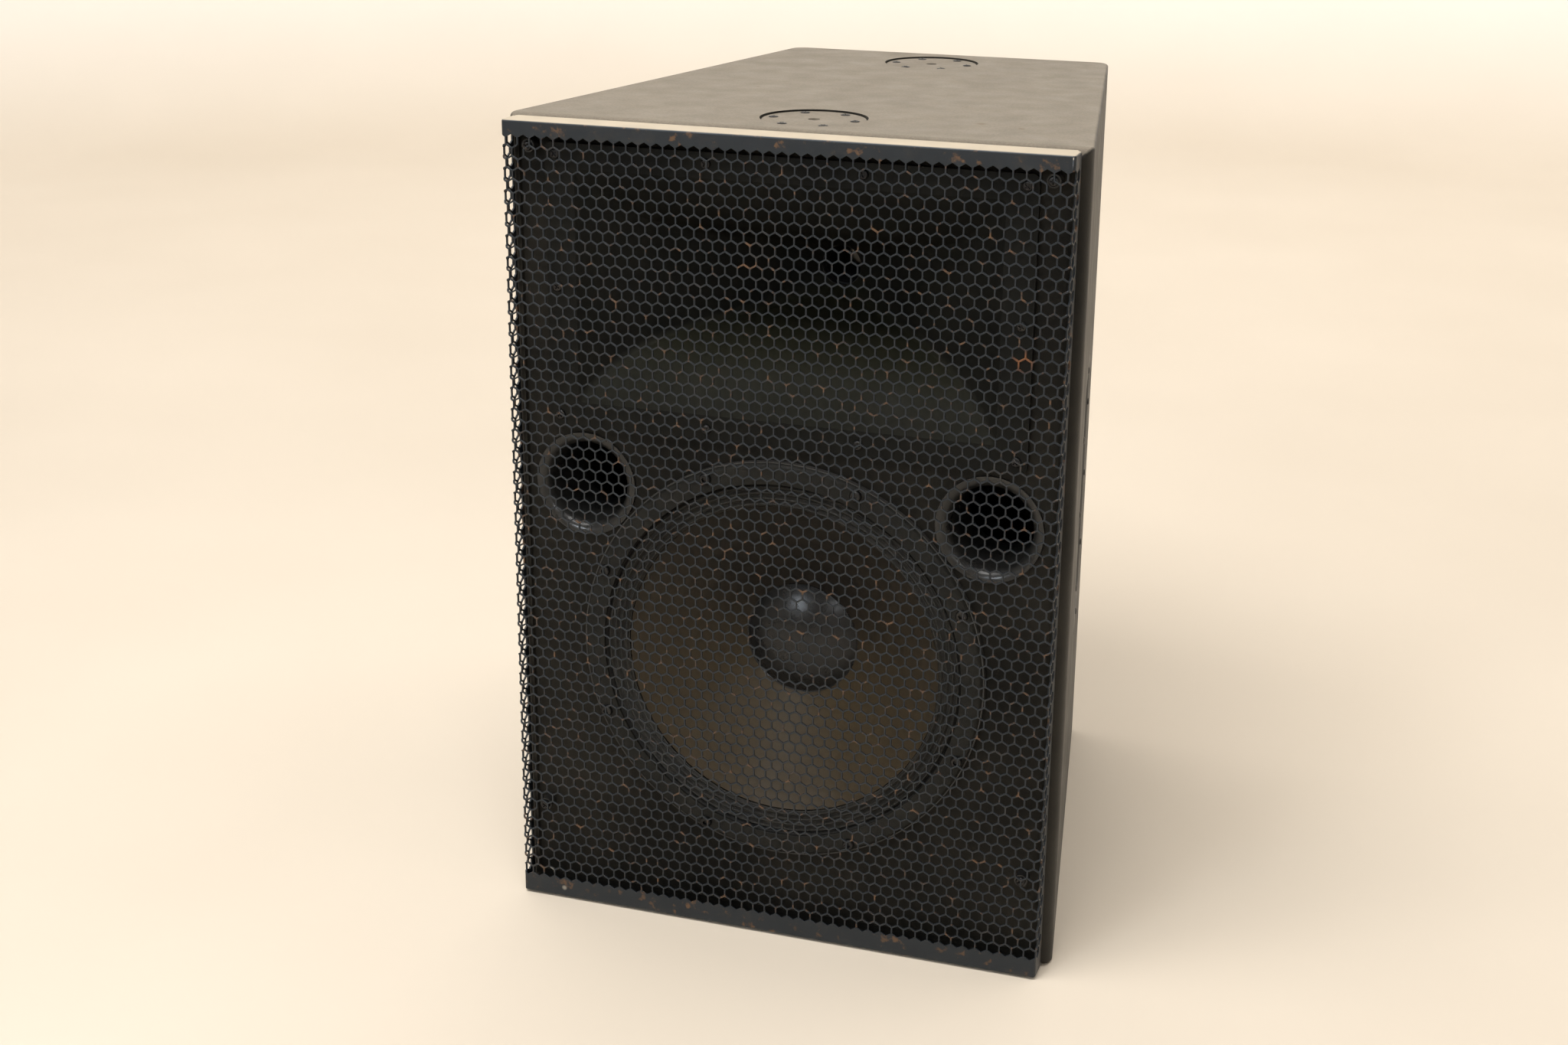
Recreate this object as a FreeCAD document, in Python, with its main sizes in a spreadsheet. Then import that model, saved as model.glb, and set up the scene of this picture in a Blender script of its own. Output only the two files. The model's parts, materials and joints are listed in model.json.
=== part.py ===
import FreeCAD, Part
import math
import os
import Sketcher
from FreeCAD import Placement, Rotation, Vector

# An upright powered two-way loudspeaker cabinet: a tapered plywood box with a pressed steel
# grille, a rectangular horn over a 15-inch woofer and two port tubes, rigging plates above
# and below, a bar handle in each side and an amplifier module in the recess of the back.
# +Z is up, the grille faces -Y and the origin is under the middle of the cabinet.
# All lengths are in millimetres.

DRIVING_SIZES = {
    "cabinet_height": 762, "front_width": 536, "rear_width": 345, "overall_depth": 572,
    "wall": 18, "front_round": 20, "back_round": 16, "edge_round": 3,
    "baffle_recess": 4, "baffle_thickness": 24, "rear_recess": 30,
    "grille_stand_off": 20, "grille_width": 514, "grille_height": 758.5, "grille_lift": 2,
    "grille_sheet": 1.6, "grille_bend": 3, "grille_return": 22.8, "grille_flange": 26,
    "grille_screw_across": 237, "grille_screw_low": 93, "grille_screw_high": 736.5,
    "horn_height": 610, "horn_mouth_across": 196, "horn_mouth_up": 107, "horn_wall": 4,
    "horn_flange_across": 224, "horn_flange_up": 130, "horn_flange_thickness": 5,
    "horn_knee_depth": 50, "horn_waist_depth": 110, "horn_length": 175, "horn_throat": 19,
    "horn_screw_across": 214, "horn_screw_up": 120,
    "driver_radius": 90, "driver_cap_radius": 62, "dome_radius": 50, "dome_height": 18,
    "woofer_height": 272, "woofer_frame": 194, "woofer_opening": 179, "woofer_bolt_circle": 186,
    "cone_rim": 150, "cone_neck": 52.2, "cone_depth": 64, "coil_radius": 51.4, "magnet_radius": 108,
    "port_across": 192, "port_height": 424, "port_throat": 38, "port_flare": 11,
    "port_length": 78, "port_wall": 2.5,
    "rigging_front": -184, "rigging_rear": 214, "rigging_radius": 47, "rigging_recess": 1.4,
    "rigging_plate": 5, "rigging_boss": 14, "rigging_tap": 4.25, "rigging_screw_circle": 38,
    "handle_depth_place": 50, "handle_height": 364, "handle_across": 66, "handle_up": 123,
    "handle_dish": 60, "handle_lip": 9, "handle_sheet": 2.5, "handle_corner": 16,
    "handle_bar_radius": 11, "handle_bar_sink": 24,
    "plate_across": 150, "plate_low": 90, "plate_high": 672, "plate_thickness": 3,
    "bay_across": 128, "bay_low": 112, "bay_high": 650, "bay_depth": 124, "bay_sheet": 1.5,
    "sink_across": 124, "sink_low": 390, "sink_high": 650, "sink_base": 5, "sink_fin": 18,
    "fan_height": 318, "fan_half": 60, "fan_depth": 25, "fan_bore": 57, "fan_hub": 21,
    "socket_height": 160, "inlet_across": -98, "switch_across": -44,
    "input_across": 46, "output_across": 92, "light_height": 214,
}

document = FreeCAD.newDocument("stage_loudspeaker")
sheet = document.addObject("Spreadsheet::Sheet", "Sizes")
for row, (alias, amount) in enumerate(DRIVING_SIZES.items(), start=1):
    sheet.set(f"A{row}", alias.replace("_", " "))
    sheet.set(f"B{row}", str(amount))
    sheet.setAlias(f"B{row}", alias)
document.recompute()


# ---- sizes that remember the spreadsheet formula they come from ----

class Size:
    """A number together with the spreadsheet formula that gives it."""

    def __init__(self, number, formula):
        self.number = number
        self.formula = formula

    def __add__(self, other):
        return Size(self.number + number_of(other), f"({self.formula} + {formula_of(other)})")

    def __radd__(self, other):
        return Size(number_of(other) + self.number, f"({formula_of(other)} + {self.formula})")

    def __sub__(self, other):
        return Size(self.number - number_of(other), f"({self.formula} - {formula_of(other)})")

    def __rsub__(self, other):
        return Size(number_of(other) - self.number, f"({formula_of(other)} - {self.formula})")

    def __mul__(self, other):
        return Size(self.number * number_of(other), f"({self.formula} * {formula_of(other)})")

    def __rmul__(self, other):
        return Size(number_of(other) * self.number, f"({formula_of(other)} * {self.formula})")

    def __truediv__(self, other):
        return Size(self.number / number_of(other), f"({self.formula} / {formula_of(other)})")

    def __neg__(self):
        return Size(-self.number, f"(0 - {self.formula})")


def number_of(size):
    return size.number if isinstance(size, Size) else float(size)


def formula_of(size):
    return size.formula if isinstance(size, Size) else f"({size:.6f})"


def given(alias):
    """The driving size with this name."""
    return Size(float(DRIVING_SIZES[alias]), f"Sizes.{alias}")


def bind(thing, **sizes):
    """Tie properties of a document object to the spreadsheet; a double underscore is a dot."""
    for name, size in sizes.items():
        thing.setExpression(name.replace("__", "."), formula_of(size))


def place(thing, x=0, y=0, z=0, axis=(0, 0, 1), degrees=0):
    """Turn a piece about its own origin, then move that origin to a point."""
    thing.Placement = Placement(Vector(), Rotation(Vector(*axis), degrees))
    bind(thing, Placement__Base__x=x, Placement__Base__y=y, Placement__Base__z=z)
    return thing


# ---- building blocks ----

ALONG = {"X": ((0, 1, 0), 90), "Y": ((1, 0, 0), -90), "Z": ((0, 0, 1), 0)}


def block(label, low, high):
    """A box from its low corner to its high corner."""
    box = document.addObject("Part::Box", label)
    bind(box, Length=high[0] - low[0], Width=high[1] - low[1], Height=high[2] - low[2])
    return place(box, *low)


def rod(label, radius, length, start, along="Z"):
    """A cylinder that starts at a point and runs along a positive axis."""
    cylinder = document.addObject("Part::Cylinder", label)
    bind(cylinder, Radius=radius, Height=length)
    axis, degrees = ALONG[along]
    return place(cylinder, *start, axis=axis, degrees=degrees)


def joined(label, pieces):
    fuse = document.addObject("Part::MultiFuse", label)
    fuse.Shapes = pieces
    return fuse


def grouped(label, pieces):
    """Separate solids, such as a set of screws, kept together under one name."""
    compound = document.addObject("Part::Compound", label)
    compound.Links = pieces
    return compound


def without(label, base, tools):
    cut = document.addObject("Part::Cut", label)
    cut.Base = base
    cut.Tool = tools[0] if len(tools) == 1 else joined(label + "_tools", tools)
    return cut


def overlap(label, first, second):
    common = document.addObject("Part::Common", label)
    common.Base = first
    common.Tool = second
    return common


def new_body(label):
    return document.addObject("PartDesign::Body", label)


def plane_of(body, role):
    return next(plane for plane in body.Origin.OriginFeatures if plane.Role == role)


def arc_between(start, end, radius):
    """The short arc of a signed radius: positive runs counter-clockwise from start to end."""
    chord = end - start
    middle = (start + end) * 0.5
    rise = math.sqrt(max(radius * radius - chord.Length ** 2 / 4, 0))
    left = Vector(-chord.y, chord.x, 0).normalize()
    centre = middle + left * math.copysign(rise, radius)
    first, last = (start, end) if radius > 0 else (end, start)
    angles = [math.atan2(point.y - centre.y, point.x - centre.x) for point in (first, last)]
    return Part.ArcOfCircle(Part.Circle(centre, Vector(0, 0, 1), abs(radius)), *angles)


def sketch_in(body, role, outline, offset=0):
    """A closed sketch on an origin plane. A third number makes the side that arrives there an arc."""
    sketch = body.newObject("Sketcher::SketchObject", body.Name + "_sketch")
    sketch.AttachmentSupport = [(plane_of(body, role), "")]
    sketch.MapMode = "FlatFace"
    bind(sketch, AttachmentOffset__Base__z=offset)
    corners = [Vector(number_of(corner[0]), number_of(corner[1]), 0) for corner in outline]
    ends = []
    for index, corner in enumerate(outline):
        start, end = corners[index - 1], corners[index]
        if len(corner) == 2:
            side = sketch.addGeometry(Part.LineSegment(start, end), False)
            ends.append((side, 1, 2))
            continue
        radius = number_of(corner[2])
        side = sketch.addGeometry(arc_between(start, end, radius), False)
        ends.append((side, 1, 2) if radius > 0 else (side, 2, 1))
        tie = sketch.addConstraint(Sketcher.Constraint("Radius", side, abs(radius)))
        sketch.setExpression(f"Constraints[{tie}]", formula_of(corner[2] if radius > 0 else -corner[2]))
    for index, (side, first, last) in enumerate(ends):
        before = ends[index - 1]
        sketch.addConstraint(Sketcher.Constraint("Coincident", before[0], before[2], side, first))
        for kind, amount in (("DistanceX", outline[index][0]), ("DistanceY", outline[index][1])):
            rule = Sketcher.Constraint(kind, -1, 1, side, last, number_of(amount))
            tie = sketch.addConstraint(rule)
            sketch.setExpression(f"Constraints[{tie}]", formula_of(amount))
    return sketch


def turned(label, outline, x=0, y=0, z=0):
    """A piece turned about an axis along Y; its outline is (distance along Y, radius)."""
    body = new_body(label)
    sketch = sketch_in(body, "YZ_Plane", outline)
    turning = body.newObject("PartDesign::Revolution", label + "_turning")
    turning.Profile = sketch
    turning.ReferenceAxis = (sketch, ["H_Axis"])
    turning.Angle = 360
    return place(body, x, y, z)


def pad(body, role, outline, length, offset=0, reverse=False):
    feature = body.newObject("PartDesign::Pad", body.Name + "_pad")
    feature.Profile = sketch_in(body, role, outline, offset)
    feature.Reversed = reverse
    bind(feature, Length=length)
    return feature


def pocket(body, role, outline, length, offset=0, reverse=False):
    feature = body.newObject("PartDesign::Pocket", body.Name + "_pocket")
    feature.Profile = sketch_in(body, role, outline, offset)
    feature.Reversed = reverse
    bind(feature, Length=length)
    return feature


def round_edges(body, feature, radius, wanted):
    """Round the edges of a feature for which wanted(edge) is true."""
    document.recompute()
    names = [f"Edge{n}" for n, edge in enumerate(feature.Shape.Edges, start=1) if wanted(edge)]
    fillet = body.newObject("PartDesign::Fillet", body.Name + "_round")
    fillet.Base = (feature, names)
    bind(fillet, Radius=radius)
    return fillet


def rectangle(low_a, high_a, low_b, high_b):
    return [(low_a, low_b), (high_a, low_b), (high_a, high_b), (low_a, high_b)]


def round_rectangle(across, up, corner, centre=(0, 0)):
    """A rectangle with rounded corners, from its half sizes."""
    a, b = centre
    return [
        (a - across + corner, b - up, corner), (a + across - corner, b - up),
        (a + across, b - up + corner, corner), (a + across, b + up - corner),
        (a + across - corner, b + up, corner), (a - across + corner, b + up),
        (a - across, b + up - corner, corner), (a - across, b - up + corner),
    ]


def sphere_radius(height, rim):
    """The radius of a spherical cap from its height and the radius of its rim."""
    return (height * height + rim * rim) / (2 * height)


def circle_points(count, radius, first_degrees=0):
    """Points on a circle as (across, up, degrees)."""
    points = []
    for step in range(count):
        degrees = first_degrees + 360 * step / count
        turn = math.radians(degrees)
        points.append((radius * math.cos(turn), radius * math.sin(turn), degrees))
    return points


def screw(label, x, y, z, shank, length, head, head_height, along="Y"):
    """A screw whose head's underside is at the point; the shank runs along the axis."""
    offsets = {"X": (head_height, 0, 0), "Y": (0, head_height, 0), "Z": (0, 0, head_height)}
    back = offsets[along]
    head_start = (x - back[0], y - back[1], z - back[2])
    cap = rod(label + "_head", head, head_height, head_start, along)
    stem = rod(label + "_shank", shank, length, (x, y, z), along)
    return joined(label, [cap, stem])


# ---- places that several pieces share ----

HEIGHT = given("cabinet_height")
WALL = given("wall")
GRILLE_FRONT = -given("overall_depth") / 2
SHELL_FRONT = GRILLE_FRONT + given("grille_stand_off")
SHELL_BACK = given("overall_depth") / 2
BAFFLE_FRONT = SHELL_FRONT + given("baffle_recess")
BAFFLE_BACK = BAFFLE_FRONT + given("baffle_thickness")
REAR_FACE = SHELL_BACK - given("rear_recess")
REAR_INSIDE = REAR_FACE - WALL
TAPER = (given("front_width") - given("rear_width")) / 2 / (SHELL_BACK - SHELL_FRONT)
SIDE_DEGREES = math.degrees(math.atan(TAPER.number))
SLANT = 1 / math.cos(math.radians(SIDE_DEGREES))
RIGGING_SCREWS = given("rigging_screw_circle").number


def half_width(y):
    """Half the cabinet's outside width at a depth."""
    return given("front_width") / 2 - TAPER * (y - SHELL_FRONT)


def inner_half_width(y):
    return half_width(y) - WALL * SLANT


def side_place(thing, side, sink=0):
    """Put a piece whose +X is outward on the left or right side wall at the handle's centre."""
    y = given("handle_depth_place")
    out = half_width(y)
    turn = SIDE_DEGREES if side == "right" else 180 - SIDE_DEGREES
    sign = 1 if side == "right" else -1
    x = sign * (out - sink / math.cos(math.radians(SIDE_DEGREES)))
    return place(thing, x, y, given("handle_height"), degrees=turn)


# ---- plywood cabinet ----

def outer_form():
    """The whole outside of the box, with its edges rounded over."""
    body = new_body("outer_form")
    half_front, half_rear = given("front_width") / 2, given("rear_width") / 2
    outline = [(-half_front, SHELL_FRONT), (half_front, SHELL_FRONT),
               (half_rear, SHELL_BACK), (-half_rear, SHELL_BACK)]
    form = pad(body, "XY_Plane", outline, HEIGHT)

    def at_front(edge):
        return edge.BoundBox.YMax < SHELL_FRONT.number + 0.1

    def upright_at_back(edge):
        return edge.BoundBox.YMin > SHELL_BACK.number - 0.1 and edge.BoundBox.ZLength > 100

    def long_edge(edge):
        at_end = edge.BoundBox.ZMin > HEIGHT.number - 0.1 or edge.BoundBox.ZMax < 0.1
        return at_end and edge.BoundBox.YMax > SHELL_FRONT.number + DRIVING_SIZES["front_round"] + 1

    rounded = round_edges(body, form, given("front_round"), at_front)
    rounded = round_edges(body, rounded, given("back_round"), upright_at_back)
    round_edges(body, rounded, given("edge_round"), long_edge)
    return body


def inner_form(label, low_y, high_y):
    """The tapered space between the side walls, cut off at two depths."""
    body = new_body(label)
    outline = [(-inner_half_width(low_y), low_y), (inner_half_width(low_y), low_y),
               (inner_half_width(high_y), high_y), (-inner_half_width(high_y), high_y)]
    pad(body, "XY_Plane", outline, HEIGHT - 2 * WALL, offset=WALL)
    return body


def slab(label, low_z, high_z, low_x=-300, high_x=300):
    return block(label, (low_x, -300, low_z), (high_x, 300, high_z))


def rigging_cuts(label, surface, inward):
    """The recess, boss hole and screw holes for one pair of rigging plates."""
    cuts = []
    pocket_depth = given("rigging_recess") + given("rigging_plate")
    for place_name in ("front", "rear"):
        y = given("rigging_" + place_name)
        name = f"{label}_{place_name}"
        start = surface if inward > 0 else surface - pocket_depth
        radius = given("rigging_radius") + 1.5
        cuts.append(rod(name + "_recess", radius, pocket_depth, (0, y, start)))
        cuts.append(rod(name + "_boss", 17, 30, (0, y, surface if inward > 0 else surface - 30)))
        for number, (dx, dy, _) in enumerate(circle_points(6, RIGGING_SCREWS)):
            hole_start = surface if inward > 0 else surface - 16
            cuts.append(rod(f"{name}_pilot{number}", 1.8, 16, (dx, y + dy, hole_start)))
    return cuts


def end_panels(form):
    top = overlap("top_board", form, slab("top_slab", HEIGHT - WALL, HEIGHT))
    bottom = overlap("bottom_board", form, slab("bottom_slab", 0, WALL))
    top_panel = without("top_panel", top, rigging_cuts("top_cut", HEIGHT, -1))
    bottom_panel = without("bottom_panel", bottom, rigging_cuts("bottom_cut", 0, 1))
    return [top_panel, bottom_panel]


def handle_opening(side):
    """The stepped opening in a side wall that takes a handle dish."""
    lip = given("handle_lip") + 0.4
    body = new_body(f"{side}_handle_opening")
    step = round_rectangle(given("handle_across") + lip, given("handle_up") + lip,
                           given("handle_corner") + lip)
    through = round_rectangle(given("handle_across") + 0.4, given("handle_up") + 0.4,
                              given("handle_corner") + 0.4)
    pad(body, "YZ_Plane", step, given("handle_sheet") + 5, offset=-given("handle_sheet"))
    pad(body, "YZ_Plane", through, WALL + 10, reverse=True)
    return side_place(body, side)


def handle_screw_points():
    """Eight screws round the dish's lip, as (along the wall, up)."""
    across = given("handle_across") + given("handle_lip") / 2
    up = given("handle_up") + given("handle_lip") / 2
    points = [(sign * across, fraction * given("handle_up")) for sign in (-1, 1)
              for fraction in (-0.62, 0, 0.62)]
    return points + [(0, -up), (0, up)]


def handle_pilots(side):
    """Pilot holes for the dish's screws, in the wall's own frame."""
    holes = []
    for number, (along, up) in enumerate(handle_screw_points()):
        name = f"{side}_handle_pilot{number}"
        holes.append(rod(name, 1.8, 15, (-given("handle_sheet") - 14, along, up), "X"))
    return side_place(joined(f"{side}_handle_pilots", holes), side)


def side_panels(form):
    hollow = inner_form("side_hollow", SHELL_FRONT - 20, SHELL_BACK + 20)
    band = overlap("side_band", form, slab("side_slab", WALL, HEIGHT - WALL))
    walls = without("side_walls", band, [hollow])
    panels = []
    for side, low_x, high_x in (("left", -300, 0), ("right", 0, 300)):
        half = overlap(f"{side}_wall", walls, slab(f"{side}_half", 0, HEIGHT, low_x, high_x))
        cuts = [handle_opening(side), handle_pilots(side)]
        panels.append(without(f"{side}_side_panel", half, cuts))
    return panels


def horn_screw_points():
    """Four screws along the top and bottom of the horn's flange and one in each side."""
    across, up = given("horn_screw_across"), given("horn_screw_up")
    points = [(fraction * across, sign * up) for sign in (-1, 1) for fraction in (-1, -1 / 3, 1 / 3, 1)]
    return points + [(-across, 0), (across, 0)]


def woofer_bolt_points():
    return circle_points(8, given("woofer_bolt_circle").number, 22.5)


def grille_screw_points():
    across = given("grille_screw_across")
    return [(sign * across, height) for sign in (-1, 1)
            for height in (given("grille_screw_low"), given("grille_screw_high"))]


def front_baffle():
    board = inner_form("baffle_board", BAFFLE_FRONT, BAFFLE_BACK)
    start = BAFFLE_FRONT - 1
    depth = given("baffle_thickness") + 2
    horn_z, woofer_z = given("horn_height"), given("woofer_height")
    across = given("horn_mouth_across") + given("horn_wall") + 2
    up = given("horn_mouth_up") + given("horn_wall") + 2
    cuts = [
        block("horn_opening", (-across, start, horn_z - up), (across, start + depth, horn_z + up)),
        rod("woofer_opening_cut", given("woofer_opening"), depth, (0, start, woofer_z), "Y"),
    ]
    port_hole = given("port_throat") + given("port_flare") + 0.4
    for sign in (-1, 1):
        middle = (sign * given("port_across"), start, given("port_height"))
        cuts.append(rod(f"port_opening{sign}", port_hole, depth, middle, "Y"))
    for number, (x, z) in enumerate(horn_screw_points()):
        cuts.append(rod(f"horn_pilot{number}", 2.3, 20, (x, start, horn_z + z), "Y"))
    for number, (x, z, _) in enumerate(woofer_bolt_points()):
        cuts.append(rod(f"woofer_pilot{number}", 3.3, depth, (x, start, woofer_z + z), "Y"))
    for number, (x, z) in enumerate(grille_screw_points()):
        cuts.append(rod(f"grille_pilot{number}", 2.3, 16, (x, start, z), "Y"))
    return without("front_baffle", board, cuts)


def plate_screw_points():
    """Screws round the edge of the amplifier plate, as (across, height)."""
    edge = given("plate_across") - 8
    low, high = given("plate_low") + 8, given("plate_high") - 8
    rows = [low + (high - low) * step / 4 for step in range(5)]
    points = [(sign * edge, row) for sign in (-1, 1) for row in rows]
    return points + [(0, low), (0, high)]


def rear_panel():
    board = inner_form("rear_board", REAR_INSIDE, REAR_FACE)
    bay = given("bay_across") + 1
    opening = block("bay_opening", (-bay, REAR_INSIDE - 5, given("bay_low") - 1),
                    (bay, REAR_FACE + 5, given("bay_high") + 1))
    cuts = [opening]
    for number, (x, z) in enumerate(plate_screw_points()):
        cuts.append(rod(f"plate_pilot{number}", 2.3, 16, (x, REAR_FACE - 15, z), "Y"))
    return without("rear_panel", board, cuts)


def wall_linings():
    """Flat wads of polyester wool against the inside of the two side walls."""
    pads = []
    for sign, side in ((-1, "left"), (1, "right")):
        body = new_body(f"{side}_wad")
        near, far = BAFFLE_BACK + 70, REAR_INSIDE - 130
        outline = [(sign * (inner_half_width(near) - 1), near), (sign * (inner_half_width(far) - 1), far),
                   (sign * (inner_half_width(far) - 21), far), (sign * (inner_half_width(near) - 21), near)]
        pad(body, "XY_Plane", outline, 170, offset=WALL + 12)
        pads.append(body)
    return grouped("wall_linings", pads)


# ---- grille ----

def front_grille():
    """A pressed pan of sheet steel; the holes through it are too many to cut here."""
    body = new_body("grille_pan")
    across, sheet_size = given("grille_width") / 2, given("grille_sheet")
    low = given("grille_lift")
    high = low + given("grille_height")
    outline = rectangle(-across, across, low, high)
    form = pad(body, "XZ_Plane", outline, given("grille_flange") + sheet_size,
               offset=-GRILLE_FRONT, reverse=True)

    def at_face(edge):
        return edge.BoundBox.YMax < GRILLE_FRONT.number + 0.1

    round_edges(body, form, given("grille_bend"), at_face)
    inside = block("grille_inside", (-across + sheet_size, GRILLE_FRONT + sheet_size, low + sheet_size),
                   (across - sheet_size, SHELL_BACK, high - sheet_size))
    trims = [inside]
    for sign in (-1, 1):
        left, right = sorted((sign * (across - 12), sign * (across + 10)), key=number_of)
        trims.append(block(f"return_trim{sign}", (left, GRILLE_FRONT + given("grille_return"), low - 5),
                           (right, SHELL_BACK, high + 5)))
    for number, (x, z) in enumerate(grille_screw_points()):
        trims.append(rod(f"grille_access{number}", 7, 10, (x, GRILLE_FRONT - 5, z), "Y"))
    return without("front_grille", body, trims)


def grille_fixings():
    """Long screws with spacer posts that hold the grille's corners to the baffle."""
    screws, posts = [], []
    for number, (x, z) in enumerate(grille_screw_points()):
        name = f"grille_screw{number}"
        seat = BAFFLE_FRONT - 12
        screws.append(screw(name, x, seat, z, 2, 26, 4.5, 3))
        post = rod(f"{name}_post", 6, 12, (x, seat, z), "Y")
        bore = rod(f"{name}_post_bore", 2.2, 14, (x, seat - 1, z), "Y")
        posts.append(without(f"{name}_spacer", post, [bore]))
    return [grouped("grille_screws", screws), grouped("grille_spacers", posts)]


# ---- horn and compression driver ----

def horn_sections(extra):
    """Half sizes and corner radii of the flare at its stations, with extra for the outside."""
    stations = [
        (given("horn_mouth_across"), given("horn_mouth_up"), given("horn_throat") / 4, 0),
        (given("horn_mouth_across") * 0.72, given("horn_mouth_up") * 0.52, given("horn_throat") / 3,
         given("horn_knee_depth")),
        (given("horn_mouth_across") * 0.4, given("horn_mouth_up") * 0.36, given("horn_throat") / 2,
         given("horn_waist_depth")),
        (given("horn_throat"), given("horn_throat"), given("horn_throat") * 0.95, given("horn_length")),
    ]
    return [(across + extra, up + extra, corner + extra, depth) for across, up, corner, depth in stations]


def loft(body, kind, extra, front):
    """A loft through the flare's stations, starting at the depth of the mouth."""
    profiles = []
    for across, up, corner, depth in horn_sections(extra):
        outline = round_rectangle(across, up, corner, (0, given("horn_height")))
        profiles.append(sketch_in(body, "XZ_Plane", outline, offset=-(front + depth)))
    feature = body.newObject(f"PartDesign::{kind}Loft", f"{body.Name}_{kind}")
    feature.Profile = profiles[0]
    feature.Sections = profiles[1:]
    feature.Ruled = False
    return feature


def horn_flare():
    body = new_body("horn_moulding")
    mouth = BAFFLE_FRONT - given("horn_flange_thickness")
    loft(body, "Additive", given("horn_wall"), mouth)
    middle = (0, given("horn_height"))
    flange = round_rectangle(given("horn_flange_across"), given("horn_flange_up"), 6, middle)
    pad(body, "XZ_Plane", flange, given("horn_flange_thickness"), offset=-mouth, reverse=True)
    collar = round_rectangle(46, 46, 45.9, middle)
    end = mouth + given("horn_length")
    pad(body, "XZ_Plane", collar, 9, offset=-end, reverse=False)
    loft(body, "Subtractive", 0, mouth)
    holes = []
    for number, (x, z) in enumerate(horn_screw_points()):
        holes.append(rod(f"horn_hole{number}", 2.3, 12, (x, mouth - 4, given("horn_height") + z), "Y"))
    return without("horn_flare", body, holes)


def horn_screws():
    seat = BAFFLE_FRONT - given("horn_flange_thickness")
    screws = [screw(f"horn_screw{number}", x, seat, given("horn_height") + z, 2, 22, 4.5, 2.6)
              for number, (x, z) in enumerate(horn_screw_points())]
    return grouped("horn_screws", screws)


def compression_driver():
    """The magnet system, phase plug, dome and cap behind the horn's throat."""
    start = BAFFLE_FRONT - given("horn_flange_thickness") + given("horn_length")
    z = given("horn_height")
    radius, dome = given("driver_radius"), given("dome_radius")
    throat = given("horn_throat")
    plug_room = dome - 1.4
    plate_end, magnet_end, top_end = 14, 38, 48
    throat_plate = [(0, throat), (0, radius - 8), (plate_end, radius - 8), (plate_end, plug_room - 9),
                    (6, throat)]
    magnet = [(plate_end, plug_room + 7), (plate_end, radius), (magnet_end, radius),
              (magnet_end, plug_room + 7)]
    top_plate = [(magnet_end, dome + 2), (magnet_end, radius - 6), (top_end, radius - 6), (top_end, dome + 2)]
    plug = [(plate_end + 0.3, plug_room - 9), (plate_end + 0.3, plug_room), (top_end, plug_room),
            (top_end + 12, throat, 60), (top_end + 12, throat * 0.55),
            (plate_end + 0.3, throat * 1.05)]
    coil = [(magnet_end + 0.5, dome + 0.2), (magnet_end + 0.5, dome + 1.2), (top_end + 3.2, dome + 1.2),
            (top_end + 3.2, dome + 0.2)]
    base = top_end + 3.6
    crown = base + given("dome_height")
    rise, skin = given("dome_height"), 0.6
    inside, outside = sphere_radius(rise, dome), sphere_radius(rise, dome + skin / 2)
    diaphragm = [(base, dome + 5), (base, dome), (crown, 0, -inside), (crown + skin, 0),
                 (base + skin, dome + skin / 2, outside), (base + skin, dome + 5)]
    cap_radius = given("driver_cap_radius")
    cap = [(top_end, cap_radius - 6), (top_end, cap_radius + 12), (top_end + 5, cap_radius + 12),
           (top_end + 5, cap_radius), (top_end + 32, cap_radius), (top_end + 38, cap_radius - 6),
           (top_end + 38, 0), (top_end + 34, 0), (top_end + 30, cap_radius - 6)]
    outlines = {
        "hf_driver_throat_plate": throat_plate, "hf_driver_magnet": magnet,
        "hf_driver_top_plate": top_plate, "hf_driver_phase_plug": plug,
        "hf_voice_coil": coil, "hf_diaphragm": diaphragm, "hf_driver_cap": cap,
    }
    return [turned(label, outline, 0, start, z) for label, outline in outlines.items()]


# ---- woofer ----

def woofer_basket():
    """Cast frame: a rim on the baffle, a cone of eight spokes and a seat for the magnet."""
    z = given("woofer_height")
    frame, opening = given("woofer_frame"), given("woofer_opening")
    front = BAFFLE_FRONT - 5
    outline = [(0, opening - 5), (0, frame), (5, frame), (5, opening - 1), (18, opening - 4),
               (96, 112), (118, 106), (118, 58), (113, 58), (113, 93), (104.5, 93), (104.5, 102.2),
               (92, 106), (16, opening - 9)]
    shell = turned("basket_shell", outline, 0, front, z)
    windows = []
    for number, (dx, dz, degrees) in enumerate(circle_points(8, 104)):
        window = document.addObject("Part::Box", f"basket_window{number}")
        bind(window, Length=62, Width=60, Height=52)
        side = Rotation(Vector(0, 1, 0), -degrees).multVec(Vector(0, 0, -26))
        place(window, dx + side.x, front + 26, z + dz + side.z, axis=(0, 1, 0), degrees=-degrees)
        windows.append(window)
    for number, (dx, dz, _) in enumerate(woofer_bolt_points()):
        windows.append(rod(f"basket_hole{number}", 3.3, 12, (dx, front - 2, z + dz), "Y"))
    return without("woofer_basket", shell, windows)


def woofer_gasket():
    front = BAFFLE_FRONT - 8
    inner, outer = given("woofer_opening") - 6, given("woofer_frame") - 1
    ring = turned("gasket_ring", [(0, inner), (0, outer - 2), (3, outer), (3, inner)], 0, front,
                  given("woofer_height"))
    holes = [rod(f"gasket_hole{number}", 3.3, 8, (x, front - 2, given("woofer_height") + z), "Y")
             for number, (x, z, _) in enumerate(woofer_bolt_points())]
    return without("woofer_gasket", ring, holes)


def woofer_bolts():
    seat = BAFFLE_FRONT - 8
    bolts = [screw(f"woofer_bolt{number}", x, seat, given("woofer_height") + z, 3, 40, 5.5, 4)
             for number, (x, z, _) in enumerate(woofer_bolt_points())]
    return grouped("woofer_bolts", bolts)


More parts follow.
